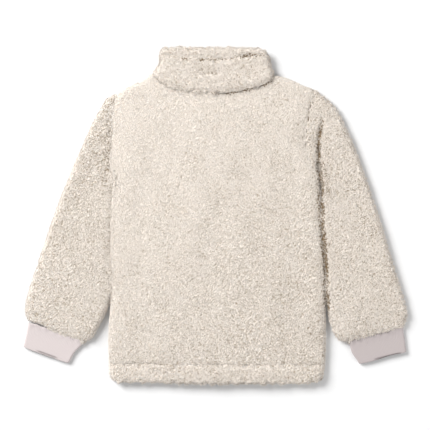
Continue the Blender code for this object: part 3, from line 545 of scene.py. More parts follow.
def fleece(name, creases, spacings, settings, material, seed, tube=False, under=False):
    """A piece of sherpa fleece on a CAD node's form, with its creases and its curls."""
    form = node_form(name)
    crease_rims(form, 0.85)
    form = rounded(form, 2)
    refine(form, spacings, tube)
    piece = object_from(form, name + "_fleece", material)
    mesh = piece.data
    hidden = hidden_share(mesh, tube, under)
    points, normals, ends = settled(mesh, name, hidden, 6)
    normals = smoothed(normals, ends, 3, 0.6)
    normals /= np.maximum(np.linalg.norm(normals, axis=1), 1e-9)[:, None]
    hidden = smoothed(hidden[:, None], ends, 3, 0.7)[:, 0]
    shows = 1 - np.clip(hidden, 0, 1)

    height = curls(points, settings.curl_spacing, seed)
    pressed = np.clip(1 - points[:, 2] / (2.5 * MM), 0, 1) * np.clip(-normals[:, 2] * 2, 0, 1)
    sideways = 1 - np.clip(np.abs(normals[:, 2]) * 1.4, 0, 1)
    stands = settings.curl_height * PILE_DEPTH.get(name, 1) * (1 - 0.6 * pressed) * (1 + 2.2 * sideways)
    lift = stands * (height - 0.45 - 0.55 * pressed)
    lift += seam_push(points, normals, name)
    upward = np.clip(normals[:, 2], 0, 1)
    points = points + normals * (shows * lift)[:, None]
    creased, shade = crease_relief(points, creases)
    points[:, 2] += shows * upward * creased
    points[:, 2] = np.maximum(points[:, 2], 0)
    set_points(mesh, points)
    wild = tousle(points, name)
    # Painted shade and light: pile is low in the furrows and sets their painted shade. It and tousle are
    # raised on side-facing points, so the outline is painted lighter.
    point_attribute(mesh, "pile", 1 - (1 - height) * wild * (1 - 0.55 * sideways))
    point_attribute(mesh, "tousle", wild * (1 - 0.85 * sideways))
    point_attribute(mesh, "inside", hidden)
    # Painted shade from the creases, only where the cloth shows.
    point_attribute(mesh, "shade", shade * shows)
    return piece


FIBRE_POINTS = 7
"""A loose fibre is three-sided: a ring of points at its root, a ring halfway, and its tip."""


def fuzz(piece, count, settings, seed):
    """Loose fibres that stand out of a piece's pile, most of them round its sides, as one mesh."""
    mesh = piece.data
    mesh.calc_loop_triangles()
    points, normals, _ = mesh_arrays(mesh)
    corners_of = np.empty(len(mesh.loop_triangles) * 3, np.int32)
    mesh.loop_triangles.foreach_get("vertices", corners_of)
    corners_of = corners_of.reshape(-1, 3)
    inside = np.empty(len(points), np.float32)
    mesh.attributes["inside"].data.foreach_get("value", inside)
    a, b, c = (points[corners_of[:, i]] for i in range(3))
    area = np.linalg.norm(np.cross(b - a, c - a), axis=1)
    facing = normals[corners_of].mean(axis=1)
    side_on = np.exp(-((facing[:, 2] - 0.15) / 0.35) ** 2)
    above_table = np.clip(a[:, 2] / (3 * MM), 0, 1)
    gap = np.minimum.reduce([line_distance(a, line)[0] for line in BRISTLY_LINES])
    bristly = 1 + 4 * np.exp(-(gap / 4) ** 2)
    weight = area * (0.02 + side_on) * bristly * above_table * (inside[corners_of].max(axis=1) < 0.05)
    draw = np.random.default_rng(seed)
    chosen = draw.choice(len(weight), count, p=weight / weight.sum())
    shares = draw.dirichlet((1, 1, 1), count)
    root = a[chosen] * shares[:, :1] + b[chosen] * shares[:, 1:2] + c[chosen] * shares[:, 2:]
    out = facing[chosen] / np.linalg.norm(facing[chosen], axis=1)[:, None]
    lean = draw.normal(size=(count, 3))
    lean -= out * np.einsum("ij,ij->i", lean, out)[:, None]
    lean /= np.linalg.norm(lean, axis=1)[:, None]
    length = settings.fibre_length * draw.uniform(0.5, 1.25, count)[:, None]
    middle = root + out * 0.45 * length + lean * 0.2 * length
    tip = middle + out * 0.1 * length + lean * 0.55 * length
    root = root - out * 0.5 * MM
    side = np.cross(out, lean)
    ring = settings.fibre_thickness / 2
    places = np.empty((count, FIBRE_POINTS, 3))
    for i in range(3):
        angle = 2 * math.pi * i / 3
        around = math.cos(angle) * lean + math.sin(angle) * side
        places[:, i] = root + around * ring
        places[:, 3 + i] = middle + around * ring * 0.8
    places[:, 6] = tip
    places[:, :, 2] = np.maximum(places[:, :, 2], 0.02 * MM)
    sides = [(i, (i + 1) % 3, 3 + (i + 1) % 3, 3 + i) for i in range(3)]
    ends = [(3 + i, 3 + (i + 1) % 3, 6) for i in range(3)]
    faces = []
    for k in range(count):
        first = FIBRE_POINTS * k
        faces.append((first + 2, first + 1, first))
        for face in sides + ends:
            faces.append(tuple(first + corner for corner in face))
    fibres = bpy.data.meshes.new(piece.name + "_fuzz")
    fibres.from_pydata(places.reshape(-1, 3).tolist(), [], faces)
    fibres.shade_smooth()
    fibres.materials.append(mesh.materials[0])
    for name, value in (("pile", 1), ("tousle", 0), ("inside", 0), ("shade", 0)):
        point_attribute(fibres, name, np.full(FIBRE_POINTS * count, value))
    made = bpy.data.objects.new(piece.name + "_fuzz", fibres)
    bpy.context.scene.collection.objects.link(made)
    return made


def rib_place(points, corners):
    """Each point's share across the cuff and along it, from the sleeve to the hand."""
    inner, outer, hand_inner, hand_outer = (np.array(corner) for corner in corners)
    flat = points[:, :2] / MM
    along = np.full(len(flat), 0.5)
    for _ in range(6):
        left = inner + (hand_inner - inner) * along[:, None]
        right = outer + (hand_outer - outer) * along[:, None]
        span = right - left
        across = np.einsum("ij,ij->i", flat - left, span) / np.einsum("ij,ij->i", span, span)
        top = inner + (outer - inner) * across[:, None]
        bottom = hand_inner + (hand_outer - hand_inner) * across[:, None]
        fall = bottom - top
        along = np.einsum("ij,ij->i", flat - top, fall) / np.einsum("ij,ij->i", fall, fall)
    return across, along


def mouth_slit(across, along, side):
    """The dark line at the cuff's mouth, where its top layer ends just short of the lower one: a small dip,
    darkened with painted shade.
    """
    first, last = MOUTH_OPEN[side]
    within = np.clip((across - first) / 0.1, 0, 1) * np.clip((last - across) / 0.1, 0, 1)
    return within * np.exp(-((along - SLIT_ALONG) / SLIT_WIDTH) ** 2)


def rib_cuff(side, settings, material):
    """A folded rib-knit cuff on its CAD node's form: fine ribs along it, drawn in where it is sewn on."""
    name = "cuff_" + side
    form = rounded(node_form(name), 1)
    refine(form, {"top": 0.75, "under": 1.0, "hidden": 3.0}, True)
    piece = object_from(form, name + "_knit", material)
    mesh = piece.data
    hidden = hidden_share(mesh, True, False)
    points, normals, ends = settled(mesh, name, hidden, 4)
    across, along = rib_place(points, CUFF[side])
    hidden = smoothed(hidden[:, None], ends, 2, 0.7)[:, 0]
    shows = 1 - np.clip(hidden, 0, 1)
    sway = 0.25 * wave_field(points, 22 * MM, 12, 71)
    wave = np.cos(2 * math.pi * (across * settings.ribs + sway))
    drawn = np.exp(-np.clip(along, 0, 1) * 9)
    pucker = wave_field(points, 9 * MM, 16, 72) * drawn * 0.35 * MM
    pressed = np.clip(1 - points[:, 2] / (1.5 * MM), 0, 1)
    slit = mouth_slit(across, along, side)
    drawn_in = pucker + 1.2 * MM * drawn - 0.7 * MM * slit
    lift = settings.rib_depth * (0.5 * wave - 0.5) + drawn_in * (1 - pressed)
    points = points + normals * (shows * lift)[:, None]
    points[:, 2] = np.maximum(points[:, 2], 0)
    set_points(mesh, points)
    point_attribute(mesh, "pile", 0.5 + 0.5 * wave)
    # Painted shade: each cuff's painted grey, a little more where it is drawn in at the sleeve, and the
    # dark line at the mouth.
    point_attribute(mesh, "shade", np.clip(CUFF_PAINTED_SHADE[side] + 0.15 * drawn + 1.2 * slit, 0, 1))
    point_attribute(mesh, "inside", hidden)
    return piece


SMOOTH = {"interpolation_type": "SMOOTHSTEP"}
MULTIPLY_ADD = {"operation": "MULTIPLY_ADD"}
COLOURS = {"data_type": "RGBA"}


def add_node(tree, kind, settings=None, **links):
    """Adds a node with its own settings and its sockets' values, linked where one is another's output."""
    node = tree.nodes.new(kind)
    for name, value in (settings or {}).items():
        setattr(node, name, value)
    for name, value in links.items():
        numbered = name[0] == "i" and name[1:].isdigit()
        socket = node.inputs[int(name[1:]) if numbered else name]
        if isinstance(value, bpy.types.NodeSocket):
            tree.links.new(value, socket)
        else:
            socket.default_value = value
    return node


def new_material(name):
    """An empty material, its node tree, and the place on a piece, which its patterns follow."""
    material = bpy.data.materials.new(name)
    material.use_nodes = True
    tree = material.node_tree
    tree.nodes.clear()
    return material, tree, add_node(tree, "ShaderNodeTexCoord").outputs["Object"]


def finish_material(tree, surface):
    """Ends a material with its surface, which takes the values and links in surface, and its output."""
    shader = add_node(tree, "ShaderNodeBsdfPrincipled", **surface)
    add_node(tree, "ShaderNodeOutputMaterial", Surface=shader.outputs["BSDF"])


def opaque(colour, shares=(1, 1, 1)):
    """The colour with nothing showing through it, each channel darkened to its share."""
    return (*(channel * share for channel, share in zip(colour, shares)), 1.0)


def sherpa_material(settings):
    """Polyester sherpa fleece, brushed to curls: almost no gloss, a pale bloom at the edges, and furrows
    painted warmer and darker than the tips, painted shade for the light that bounces between the curls."""
    material, tree, place = new_material(SHERPA)
    pile, tousled, shade, inside = (
        add_node(tree, "ShaderNodeAttribute", {"attribute_name": name}).outputs["Fac"]
        for name in ("pile", "tousle", "shade", "inside"))
    combed = add_node(tree, "ShaderNodeMapping", {"vector_type": "TEXTURE"}, Vector=place,
                      Rotation=(0, 0, math.radians(42)), Scale=(2.0, 0.85, 1.0)).outputs["Vector"]
    noodle = add_node(tree, "ShaderNodeTexNoise", Vector=combed, Scale=560.0, Detail=1.0, Roughness=0.5,
                      Distortion=0.6).outputs["Fac"]
    off = add_node(tree, "ShaderNodeMath", {"operation": "SUBTRACT"}, i0=noodle, i1=0.5).outputs[0]
    away = add_node(tree, "ShaderNodeMath", {"operation": "ABSOLUTE"}, i0=off).outputs[0]
    furrow = add_node(tree, "ShaderNodeMapRange", SMOOTH,
                      Value=away, i1=0.0, i2=0.11, i3=-1.0, i4=0.0).outputs["Result"]
    worm = add_node(tree, "ShaderNodeMath", MULTIPLY_ADD, i0=furrow, i1=tousled, i2=1.0).outputs[0]
    both = add_node(tree, "ShaderNodeMath", MULTIPLY_ADD, i0=worm, i1=0.9, i2=pile).outputs[0]
    depth = add_node(tree, "ShaderNodeMapRange", SMOOTH,
                     Value=both, i1=0.1, i2=1.0, i3=0.0, i4=1.0).outputs["Result"]
    # Painted shade: low pile and the furrow lines take the darker furrow colour.
    colour = add_node(tree, "ShaderNodeMix", COLOURS,
                      i0=depth, i6=opaque(settings.furrow), i7=opaque(settings.tip)).outputs[2]
    patch = add_node(tree, "ShaderNodeTexNoise",
                     Vector=place, Scale=38.0, Detail=3.0, Roughness=0.6).outputs["Fac"]
    tint = add_node(tree, "ShaderNodeMapRange",
                    Value=patch, i1=0.3, i2=0.7, i3=0.0, i4=0.05).outputs["Result"]
    colour = add_node(tree, "ShaderNodeMix", COLOURS,
                      i0=tint, i6=colour, i7=opaque(linear("D9C6AC"))).outputs[2]
    # Painted shade: the shade attribute, broken into specks by these clumps, mixes in the painted shade
    # colour.
    clumps = add_node(tree, "ShaderNodeTexNoise",
                      Vector=place, Scale=520.0, Detail=2.0, Roughness=0.6).outputs["Fac"]
    closed = add_node(tree, "ShaderNodeMapRange", {"clamp": False},
                      Value=clumps, i1=0.3, i2=0.7, i3=2.3, i4=-0.3).outputs["Result"]
    deep = add_node(tree, "ShaderNodeMath", {"operation": "MULTIPLY"}, i0=shade, i1=closed).outputs[0]
    deep = add_node(tree, "ShaderNodeMapRange", SMOOTH,
                    Value=deep, i1=0.3, i2=0.95, i3=0.0, i4=1.0).outputs["Result"]
    colour = add_node(tree, "ShaderNodeMix", COLOURS,
                      i0=deep, i6=colour, i7=opaque(settings.painted_shade)).outputs[2]
    colour = add_node(tree, "ShaderNodeMix", COLOURS,
                      i0=inside, i6=colour, i7=opaque(settings.lining)).outputs[2]
    fibre = add_node(tree, "ShaderNodeTexNoise",
                     Vector=place, Scale=900.0, Detail=2.0, Roughness=0.7).outputs["Fac"]
    fine = add_node(tree, "ShaderNodeBump", Height=fibre, Strength=0.5, Distance=0.0006).outputs["Normal"]
    bump = add_node(tree, "ShaderNodeBump",
                    Height=worm, Strength=1.0, Distance=0.0009, Normal=fine).outputs["Normal"]
    finish_material(tree, {
        "Base Color": colour, "Normal": bump, "Roughness": 1.0, "IOR": 1.45, "Specular IOR Level": 0.1,
        "Sheen Weight": 0.5, "Sheen Roughness": 0.5, "Subsurface Weight": 0.12,
        "Subsurface Radius": (0.003, 0.0025, 0.002), "Subsurface Scale": 1.0})
    return material


def knit_material(settings):
    """Fine rib knit of cotton and polyester: matt, smooth beside the fleece, its valleys painted faintly
    darker as painted shade.
    """
    material, tree, place = new_material("rib_knit_cotton_polyester")
    pile, shade = (add_node(tree, "ShaderNodeAttribute", {"attribute_name": name}).outputs["Fac"]
                   for name in ("pile", "shade"))
    # Painted shade: the ribs' valleys are painted darker than their tops.
    valley = opaque(settings.colour, (0.86, 0.85, 0.84))
    # Painted shade: the knit's colour where the shade attribute paints it grey, dark mouth line and all.
    darker_colour = opaque(settings.colour, (0.42, 0.41, 0.41))
    colour = add_node(tree, "ShaderNodeMix", COLOURS,
                      i0=pile, i6=valley, i7=opaque(settings.colour)).outputs[2]
    colour = add_node(tree, "ShaderNodeMix", COLOURS, i0=shade, i6=colour, i7=darker_colour).outputs[2]
    loop = add_node(tree, "ShaderNodeTexNoise", Vector=place, Scale=1100.0, Detail=1.0).outputs["Fac"]
    bump = add_node(tree, "ShaderNodeBump", Height=loop, Strength=0.35, Distance=0.0003).outputs["Normal"]
    finish_material(tree, {"Base Color": colour, "Normal": bump, "Roughness": 0.92, "IOR": 1.45,
                           "Specular IOR Level": 0.2, "Sheen Weight": 0.15})
    return material


def tape_material(settings):
    """Woven polyester tape: matt, with the fine diagonal of a twill."""
    material, tree, place = new_material("zip_tape_woven_polyester")
    twill = add_node(tree, "ShaderNodeTexWave", {"bands_direction": "DIAGONAL"},
                     Vector=place, Scale=260.0, Distortion=0.4).outputs["Fac"]
    # Painted shade: the twill's valleys are painted darker than its ridges.
    valley = opaque(settings.tape, (0.86, 0.85, 0.84))
    colour = add_node(tree, "ShaderNodeMix", COLOURS,
                      i0=twill, i6=valley, i7=opaque(settings.tape)).outputs[2]
    bump = add_node(tree, "ShaderNodeBump", Height=twill, Strength=0.5, Distance=0.00015).outputs["Normal"]
    finish_material(tree, {"Base Color": colour, "Normal": bump, "Roughness": 0.85, "IOR": 1.5,
                           "Sheen Weight": 0.1})
    return material


def coil_material(settings):
    """Nylon monofilament: a smooth plastic thread with a soft gloss."""
    material, tree, place = new_material("zip_coil_nylon_monofilament")
    wear = add_node(tree, "ShaderNodeTexNoise", Vector=place, Scale=300.0, Detail=2.0).outputs["Fac"]
    darker_colour = opaque(settings.coil, (0.9, 0.89, 0.87))
    colour = add_node(tree, "ShaderNodeMix", COLOURS, i0=wear, i6=opaque(settings.coil), i7=darker_colour).outputs[2]
    rough = add_node(tree, "ShaderNodeMapRange", Value=wear, i3=0.3, i4=0.45).outputs["Result"]
    finish_material(tree, {"Base Color": colour, "Roughness": rough, "IOR": 1.53})
    return material


def thread_material():
    """Spun polyester thread: matt, a little paler than the tape it holds."""
    material, tree, place = new_material("sewing_thread_spun_polyester")
    ply = add_node(tree, "ShaderNodeTexWave", {"bands_direction": "DIAGONAL"},
                   Vector=place, Scale=700.0).outputs["Fac"]
    # Painted shade: the grooves between the plies are painted darker than their tops.
    colour = add_node(tree, "ShaderNodeMix", COLOURS,
                      i0=ply, i6=opaque(linear("D8CCBB")), i7=opaque(linear("EFE6DA"))).outputs[2]
    bump = add_node(tree, "ShaderNodeBump", Height=ply, Strength=0.4, Distance=0.0001).outputs["Normal"]
    finish_material(tree, {"Base Color": colour, "Normal": bump, "Roughness": 0.7, "IOR": 1.5})
    return material


def metal_material():
    """Die-cast zinc with nickel plate, tumbled: a bright soft gloss with faint cloudy wear."""
    material, tree, place = new_material("zip_metal_nickel_plated_zinc")
    cloud = add_node(tree, "ShaderNodeTexNoise",
                     Vector=place, Scale=420.0, Detail=4.0, Roughness=0.65).outputs["Fac"]
    colour = add_node(tree, "ShaderNodeMix", COLOURS,
                      i0=cloud, i6=opaque(linear("C9C6C0")), i7=opaque(linear("B4B0A9"))).outputs[2]
    rough = add_node(tree, "ShaderNodeMapRange",
                     Value=cloud, i1=0.3, i2=0.7, i3=0.22, i4=0.40).outputs["Result"]
    bump = add_node(tree, "ShaderNodeBump", Height=cloud, Strength=0.15, Distance=0.0001).outputs["Normal"]
    finish_material(tree, {"Base Color": colour, "Normal": bump, "Roughness": rough, "Metallic": 1.0})
    return material


def table_material(settings):
    """Matt white laminate, so bright under the lights that it reads as a plain white ground."""
    material, tree, place = new_material("table_matt_white_laminate")
    grain = add_node(tree, "ShaderNodeTexNoise", Vector=place, Scale=6.0, Detail=2.0).outputs["Fac"]
    dulled = opaque(settings.table, (0.985, 0.985, 0.985))
    colour = add_node(tree, "ShaderNodeMix", COLOURS,
                      i0=grain, i6=opaque(settings.table), i7=dulled).outputs[2]
    finish_material(tree, {"Base Color": colour, "Roughness": 0.9, "Specular IOR Level": 0.1})
    return material


FIBRES = {
    "back": 5200,
    "hem_back": 2000,
    "front_left": 500,
    "front_right": 500,
    "hem_front_left": 250,
    "hem_front_right": 250,
    "sleeve_left": 3600,
    "sleeve_right": 3600,
    "collar": 3400,
}


def declare_cloth(piece, node, with_pieces=()):
    """Makes the piece, and any extra pieces with it, follow the jacket's body, and hides the CAD node that
    it stands in for.
    """
    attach(piece, BODY)
    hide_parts(node)
    for extra in with_pieces:
        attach(extra, BODY)


def make_fleece(context, name, creases, spacings, seed, **sides):
    """A fleece piece with its loose fibres, both made to follow the jacket's body in place of the CAD node.
    """
    settings = context.scene.jacket_fleece
    material = bpy.data.materials.get(SHERPA) or sherpa_material(settings)
    piece = fleece(name, creases, spacings, settings, material, seed, **sides)
    fibres = fuzz(piece, FIBRES[name], settings, seed + 5)
    declare_cloth(piece, name, [fibres])


class JACKET_OT_body(bpy.types.Operator):
    """Makes the front and back panels and the hem band of sherpa fleece"""

    bl_idname = "jacket.body"
    bl_label = "Body panels and hem"

    def execute(self, context):
        fine_above = {"top": 1.3, "under": 4.0, "hidden": 4.5}
        fine_below = {"top": 4.5, "under": 2.0, "hidden": 4.5}
        for i, name in enumerate(("front_left", "front_right", "hem_front_left", "hem_front_right")):
            make_fleece(context, name, (), fine_below, 100 + 10 * i, under=True)
        make_fleece(context, "back", BODY_CREASES, fine_above, 200)
        make_fleece(context, "hem_back", HEM_CREASES, fine_above, 210)
        return {"FINISHED"}


class JACKET_OT_sleeves(bpy.types.Operator):
    """Makes the two sleeves of sherpa fleece"""

    bl_idname = "jacket.sleeves"
    bl_label = "Sleeves"

    def execute(self, context):
        spacings = {"top": 1.2, "under": 2.4, "hidden": 5.0}
        for i, name in enumerate(("sleeve_left", "sleeve_right")):
            make_fleece(context, name, SLEEVE_CREASES, spacings, 300 + 10 * i, tube=True)
        return {"FINISHED"}


class JACKET_OT_collar(bpy.types.Operator):
    """Makes the stand collar of sherpa fleece"""

    bl_idname = "jacket.collar"
    bl_label = "Stand collar"

    def execute(self, context):
        spacings = {"top": 1.1, "under": 2.0, "hidden": 4.0}
        make_fleece(context, "collar", COLLAR_CREASES, spacings, 400, tube=True)
        return {"FINISHED"}


class JACKET_OT_cuffs(bpy.types.Operator):
    """Makes the two cuffs of folded rib knit"""

    bl_idname = "jacket.cuffs"
    bl_label = "Rib-knit cuffs"

    def execute(self, context):
        settings = context.scene.jacket_knit
        material = knit_material(settings)
        for side in CUFF:
            piece = rib_cuff(side, settings, material)
            declare_cloth(piece, "cuff_" + side)
        return {"FINISHED"}


ZIP_MIDDLE = -0.51
TAPE = {
    "zip_tape_left": (-15.4, -0.9),
    "zip_tape_right": (-0.1, 14.4),
}
TAPE_LENGTH = (-239.1, 207.0)
TAPE_HEIGHT = 5.45
TAPE_THICKNESS = 0.6
COIL_LENGTH = (-239.0, 203.0)
COIL_HEIGHT = 4.6
COIL_ROW = 0.95
"""How far the middle of each row of turns is from the zip's middle."""
TURN_LENGTH = 3.3
TURN_RADIUS = 0.33
TURN_FLATNESS = 2.2
SLIDER_Y = (195.1, 206.0)
BOX_Y = (-248.4, -239.5)
HINGE = (200.55, 1.35)
PULL_LENGTH = 24.0
PULL_THICKNESS = 0.72
STITCH_PITCH = 2.6
STITCH_RADIUS = 0.14
STITCH_PLACE = (4.0, 5.42)
"""How far a line of stitches is from the zip's middle, and its height."""
METAL_HALF_WIDTH = 4.1
"""Half the width of the slider's plates and of the box."""


def bevel(form, edges, offset, segments):
    bmesh.ops.bevel(form, geom=edges, offset=offset * MM, offset_type="OFFSET", segments=segments,
                    profile=0.5, affect="EDGES", material=-1)


def block(form, low, high, rounding, end_width=1.0):
    """A bevelled block between two corners, in millimetres, drawn in at its low end in Y."""
    made = bmesh.ops.create_cube(form, size=1)["verts"]
    middle = (low[0] + high[0]) / 2
    for vert in made:
        narrow = end_width if vert.co.y < 0 else 1.0
        for axis in range(3):
            vert.co[axis] = low[axis] + (vert.co[axis] + 0.5) * (high[axis] - low[axis])
        vert.co.x = middle + (vert.co.x - middle) * narrow
    bmesh.ops.scale(form, vec=(MM, MM, MM), verts=made)
    bevel(form, list({edge for vert in made for edge in vert.link_edges}), rounding, 3)


def rod(form, middle, length, radius, flatness, axis):
    """A short rod with rounded ends, in millimetres, lying along X or Y."""
    made = bmesh.ops.create_uvsphere(form, u_segments=8, v_segments=6, radius=1)["verts"]
    for vert in made:
        over = math.copysign(length / 2 - radius, vert.co.z) if abs(vert.co.z) > 0.01 else 0
        along = vert.co.z * radius + over
        across = vert.co.x * radius
        up = vert.co.y * radius * flatness
        place = (along, across, up) if axis == "x" else (across, along, up)
        vert.co = (Vector(middle) + Vector(place)) * MM
    bmesh.ops.recalc_face_normals(form, faces=list({face for vert in made for face in vert.link_faces}))


def repeated(piece, count, step):
    """Copies of the piece's mesh along Y, joined to it, a step in millimetres apart."""
    array = piece.modifiers.new("repeat", "ARRAY")
    array.count = count
    array.use_relative_offset = False
    array.use_constant_offset = True
    array.constant_offset_displace = (0, step * MM, 0)
    return piece


def zip_tape(name, material):
    """One side of the zip's tape: a thin woven strip that waves a little."""
    x_low, x_high = TAPE[name]
    y_low, y_high = TAPE_LENGTH
    form = bmesh.new()
    made = bmesh.ops.create_grid(form, x_segments=8, y_segments=180, size=0.5)["verts"]
    sign = -1 if name.endswith("left") else 1
    for vert in made:
        x = x_low + (vert.co.x + 0.5) * (x_high - x_low)
        y = y_low + (vert.co.y + 0.5) * (y_high - y_low)
        wave = 0.12 * math.sin(y / 9.0 + sign) + 0.08 * math.sin(y / 4.3)
        vert.co = (x * MM, y * MM, (TAPE_HEIGHT + wave * abs(x - ZIP_MIDDLE) / 15) * MM)
    bmesh.ops.solidify(form, geom=form.faces[:], thickness=-TAPE_THICKNESS * MM)
    bmesh.ops.recalc_face_normals(form, faces=form.faces)
    return object_from(form, name + "_woven", material)


def zip_coil(settings, material):
    """Both rows of the coil's turns, meshed along the middle."""
    form = bmesh.new()
    pitch = settings.tooth_pitch / MM
    for side, offset in ((-1, 0.0), (1, 0.5)):
        place = (ZIP_MIDDLE + side * COIL_ROW, COIL_LENGTH[0] + 0.4 + offset * pitch, COIL_HEIGHT)
        rod(form, place, TURN_LENGTH, TURN_RADIUS, TURN_FLATNESS, "x")
    count = int((COIL_LENGTH[1] - COIL_LENGTH[0]) / pitch)
    return repeated(object_from(form, "zip_coil", material), count, pitch)


def zip_stitching(material):
    """The line of stitches that holds each tape, beside the coil."""
    form = bmesh.new()
    out, height = STITCH_PLACE
    for side in (-1, 1):
        place = (ZIP_MIDDLE + side * out, TAPE_LENGTH[0] + 2, height)
        rod(form, place, STITCH_PITCH * 0.8, STITCH_RADIUS, 0.8, "y")
    count = int((TAPE_LENGTH[1] - TAPE_LENGTH[0] - 4) / STITCH_PITCH)
    return repeated(object_from(form, "zip_stitching", material), count, STITCH_PITCH)


def zip_slider(material):
    """The slider: two shaped plates round the coil, a post, flanges and the bridge for the pull."""
    form = bmesh.new()
    middle = ZIP_MIDDLE
    low, high = SLIDER_Y
    for bottom, top in ((2.25, 3.15), (6.45, 7.35)):
        far_corner = (middle + METAL_HALF_WIDTH, high, top)
        block(form, (middle - METAL_HALF_WIDTH, low, bottom), far_corner, 0.32, 0.74)
    block(form, (middle - 1.4, high - 2.7, 2.9), (middle + 1.4, high - 0.2, 6.7), 0.3)
    for side in (-1, 1):
        x = middle + side * 3.55
        block(form, (x - 0.4, low + 3.4, 2.7), (x + 0.4, high - 0.6, 3.75), 0.2)
    hinge = HINGE[0]
    block(form, (middle - 0.85, hinge - 3.3, 0.12), (middle + 0.85, hinge + 3.3, 0.64), 0.2)
    for side in (-1, 1):
        y = hinge + side * 2.85
        block(form, (middle - 0.8, y - 0.42, 0.3), (middle + 0.8, y + 0.42, 2.5), 0.16)
    return object_from(form, "zip_slider_body", material)


def zip_pull(material):
    """The pull tab: a pressed plate with a window for the bridge and three grip ridges."""
    hinge_y, hinge_z = HINGE
    xs = (-3.3, -1.9, 1.9, 3.3)
    ys = (-PULL_LENGTH + 0.1, -PULL_LENGTH + 2.2, -4.6, -0.5, 0.4)
    form = bmesh.new()
    made = bmesh.ops.create_grid(form, x_segments=3, y_segments=4, size=0.5)["verts"]
    for vert in made:
        column = round((vert.co.x + 0.5) * 3)
        row = round((vert.co.y + 0.5) * 4)
        narrow = 0.6 if row == 0 else 1.0
        place = (ZIP_MIDDLE + xs[column] * narrow, hinge_y + ys[row], hinge_z + PULL_THICKNESS / 2)
        vert.co = [value * MM for value in place]
    window = [face for face in form.faces
              if abs(face.calc_center_median().x / MM - ZIP_MIDDLE) < 1 and
              -4 < face.calc_center_median().y / MM - hinge_y < -1]
    bmesh.ops.delete(form, geom=window, context="FACES")
    bmesh.ops.solidify(form, geom=form.faces[:], thickness=PULL_THICKNESS * MM)
    bmesh.ops.recalc_face_normals(form, faces=form.faces)
    bevel(form, [edge for edge in form.edges if edge.calc_face_angle(0) > 1], 0.18, 2)
    for i in range(3):
        y = hinge_y - PULL_LENGTH + 4.5 + 2.2 * i
        low = (ZIP_MIDDLE - 2.2, y - 0.3, hinge_z - 0.42)
        block(form, low, (ZIP_MIDDLE + 2.2, y + 0.3, hinge_z - 0.2), 0.06)
    return object_from(form, "zip_pull_tab", material)


def zip_box(material):
    """The retaining box and pin at the foot of the zip."""
    form = bmesh.new()
    low, high = BOX_Y
    far_corner = (ZIP_MIDDLE + METAL_HALF_WIDTH, high, 6.0)
    block(form, (ZIP_MIDDLE - METAL_HALF_WIDTH, low, 3.6), far_corner, 0.45)
    block(form, (ZIP_MIDDLE - 3.0, low + 1.2, 3.42), (ZIP_MIDDLE + 3.0, high - 1.2, 3.8), 0.15)
    return object_from(form, "zip_retaining_box", material)


class JACKET_OT_zip(bpy.types.Operator):
    """Makes the front zip: tapes, coil, stitching, slider, pull tab and retaining box"""

    bl_idname = "jacket.zip"
    bl_label = "Front zip"

    def execute(self, context):
        settings = context.scene.jacket_zip
        woven = tape_material(settings)
        nylon = coil_material(settings)
        thread = thread_material()
        metal = metal_material()
        for name in TAPE:
            piece = zip_tape(name, woven)
            declare_cloth(piece, name)
        still = (
            (zip_coil(settings, nylon), "zip_coil", ("zip_teeth",)),
            (zip_stitching(thread), "zip_tape", ()),
            (zip_slider(metal), "zip_metal", ("zip_slider",)),
            (zip_box(metal), "zip_metal", ("zip_box",)),
        )
        for piece, slot, nodes in still:
            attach(piece, BODY)
            if nodes:
                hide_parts(*nodes)
        pull = zip_pull(metal)
        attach(pull, PULL_BODY)
        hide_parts("zip_pull")
        return {"FINISHED"}


CAMERA_ASIDE = (-0.0005, 0.0008)
"""How far the camera stands off the frame's middle, in metres."""


def aim(thing, place, target):
    """Puts a camera or light at a place in millimetres, looking at a target."""
    place = Vector(place) * MM
    target = Vector(target) * MM
    thing.location = place
    thing.rotation_euler = (target - place).to_track_quat("-Z", "Y").to_euler()


def soft_light(name, size, power, place):
    """A round soft light, its size in metres, at a place in millimetres, aimed at the jacket."""
    lamp = bpy.data.lights.new(name, "AREA")
    lamp.shape = "DISK"
    lamp.size = size
    lamp.energy = power
    lamp_object = bpy.data.objects.new(name, lamp)
    bpy.context.scene.collection.objects.link(lamp_object)
    aim(lamp_object, place, (0, 0, 0))


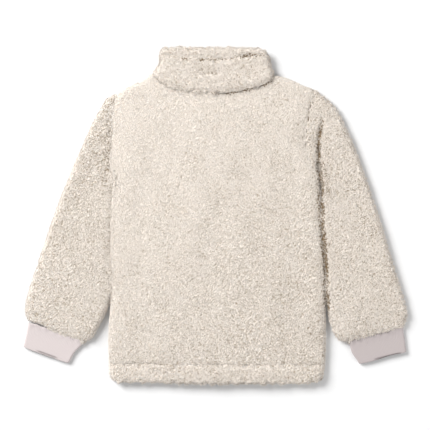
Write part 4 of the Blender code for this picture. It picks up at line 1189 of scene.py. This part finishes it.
class JACKET_OT_stage(bpy.types.Operator):
    """Makes the white table, the soft lights and the camera straight above"""

    bl_idname = "jacket.stage"
    bl_label = "Table, light and camera"

    def execute(self, context):
        settings = context.scene.jacket_stage
        form = bmesh.new()
        bmesh.ops.create_grid(form, x_segments=4, y_segments=4, size=4.0)
        table = object_from(form, "table", table_material(settings))

        soft_light("key_light", size=2.3, power=settings.key_power, place=(-2650, 2000, 2250))
        soft_light("reflector", size=1.6, power=settings.fill_power, place=(1900, -900, 750))

        world = bpy.data.worlds.new("white_room")
        context.scene.world = world
        world.use_nodes = True
        background = world.node_tree.nodes["Background"]
        background.inputs["Color"].default_value = (1, 1, 1, 1)
        background.inputs["Strength"].default_value = settings.sky_strength

        lens = bpy.data.cameras.new("camera")
        lens.sensor_width = 36
        lens.lens = lens.sensor_width * settings.camera_height / settings.view_width
        lens.clip_end = 20
        camera = bpy.data.objects.new("camera", lens)
        context.scene.collection.objects.link(camera)
        camera.location = (*CAMERA_ASIDE, settings.camera_height)
        context.scene.camera = camera
        context.scene.view_settings.view_transform = "Standard"
        context.scene.view_settings.look = "None"
        return {"FINISHED"}


class JACKET_PT_panel(bpy.types.Panel):
    """Lists the jacket's pieces and their sizes and colours"""

    bl_idname = "JACKET_PT_panel"
    bl_label = "Sherpa fleece jacket"
    bl_space_type = "VIEW_3D"
    bl_region_type = "UI"
    bl_category = "Jacket"

    def draw(self, context):
        for group, settings in SETTINGS.items():
            box = self.layout.box()
            for name in settings.__annotations__:
                box.prop(getattr(context.scene, group), name)
        for operator in OPERATORS:
            self.layout.operator(operator.bl_idname)


SETTINGS = {
    "jacket_fleece": JacketFleece,
    "jacket_knit": JacketKnit,
    "jacket_zip": JacketZip,
    "jacket_stage": JacketStage,
}
OPERATORS = (JACKET_OT_body, JACKET_OT_sleeves, JACKET_OT_collar, JACKET_OT_cuffs, JACKET_OT_zip,
             JACKET_OT_stage)


def register():
    for group, settings in SETTINGS.items():
        bpy.utils.register_class(settings)
        setattr(bpy.types.Scene, group, bpy.props.PointerProperty(type=settings))
    for operator in OPERATORS:
        bpy.utils.register_class(operator)
    bpy.utils.register_class(JACKET_PT_panel)


def unregister():
    bpy.utils.unregister_class(JACKET_PT_panel)
    for operator in reversed(OPERATORS):
        bpy.utils.unregister_class(operator)
    for group, settings in SETTINGS.items():
        delattr(bpy.types.Scene, group)
        bpy.utils.unregister_class(settings)


def corners(box):
    return [[float(value) for value in corner] for corner in box]


def main():
    register()
    bpy.ops.jacket.body()
    bpy.ops.jacket.sleeves()
    bpy.ops.jacket.collar()
    bpy.ops.jacket.cuffs()
    bpy.ops.jacket.zip()
    bpy.ops.jacket.stage()


if __name__ == "__main__":
    main()
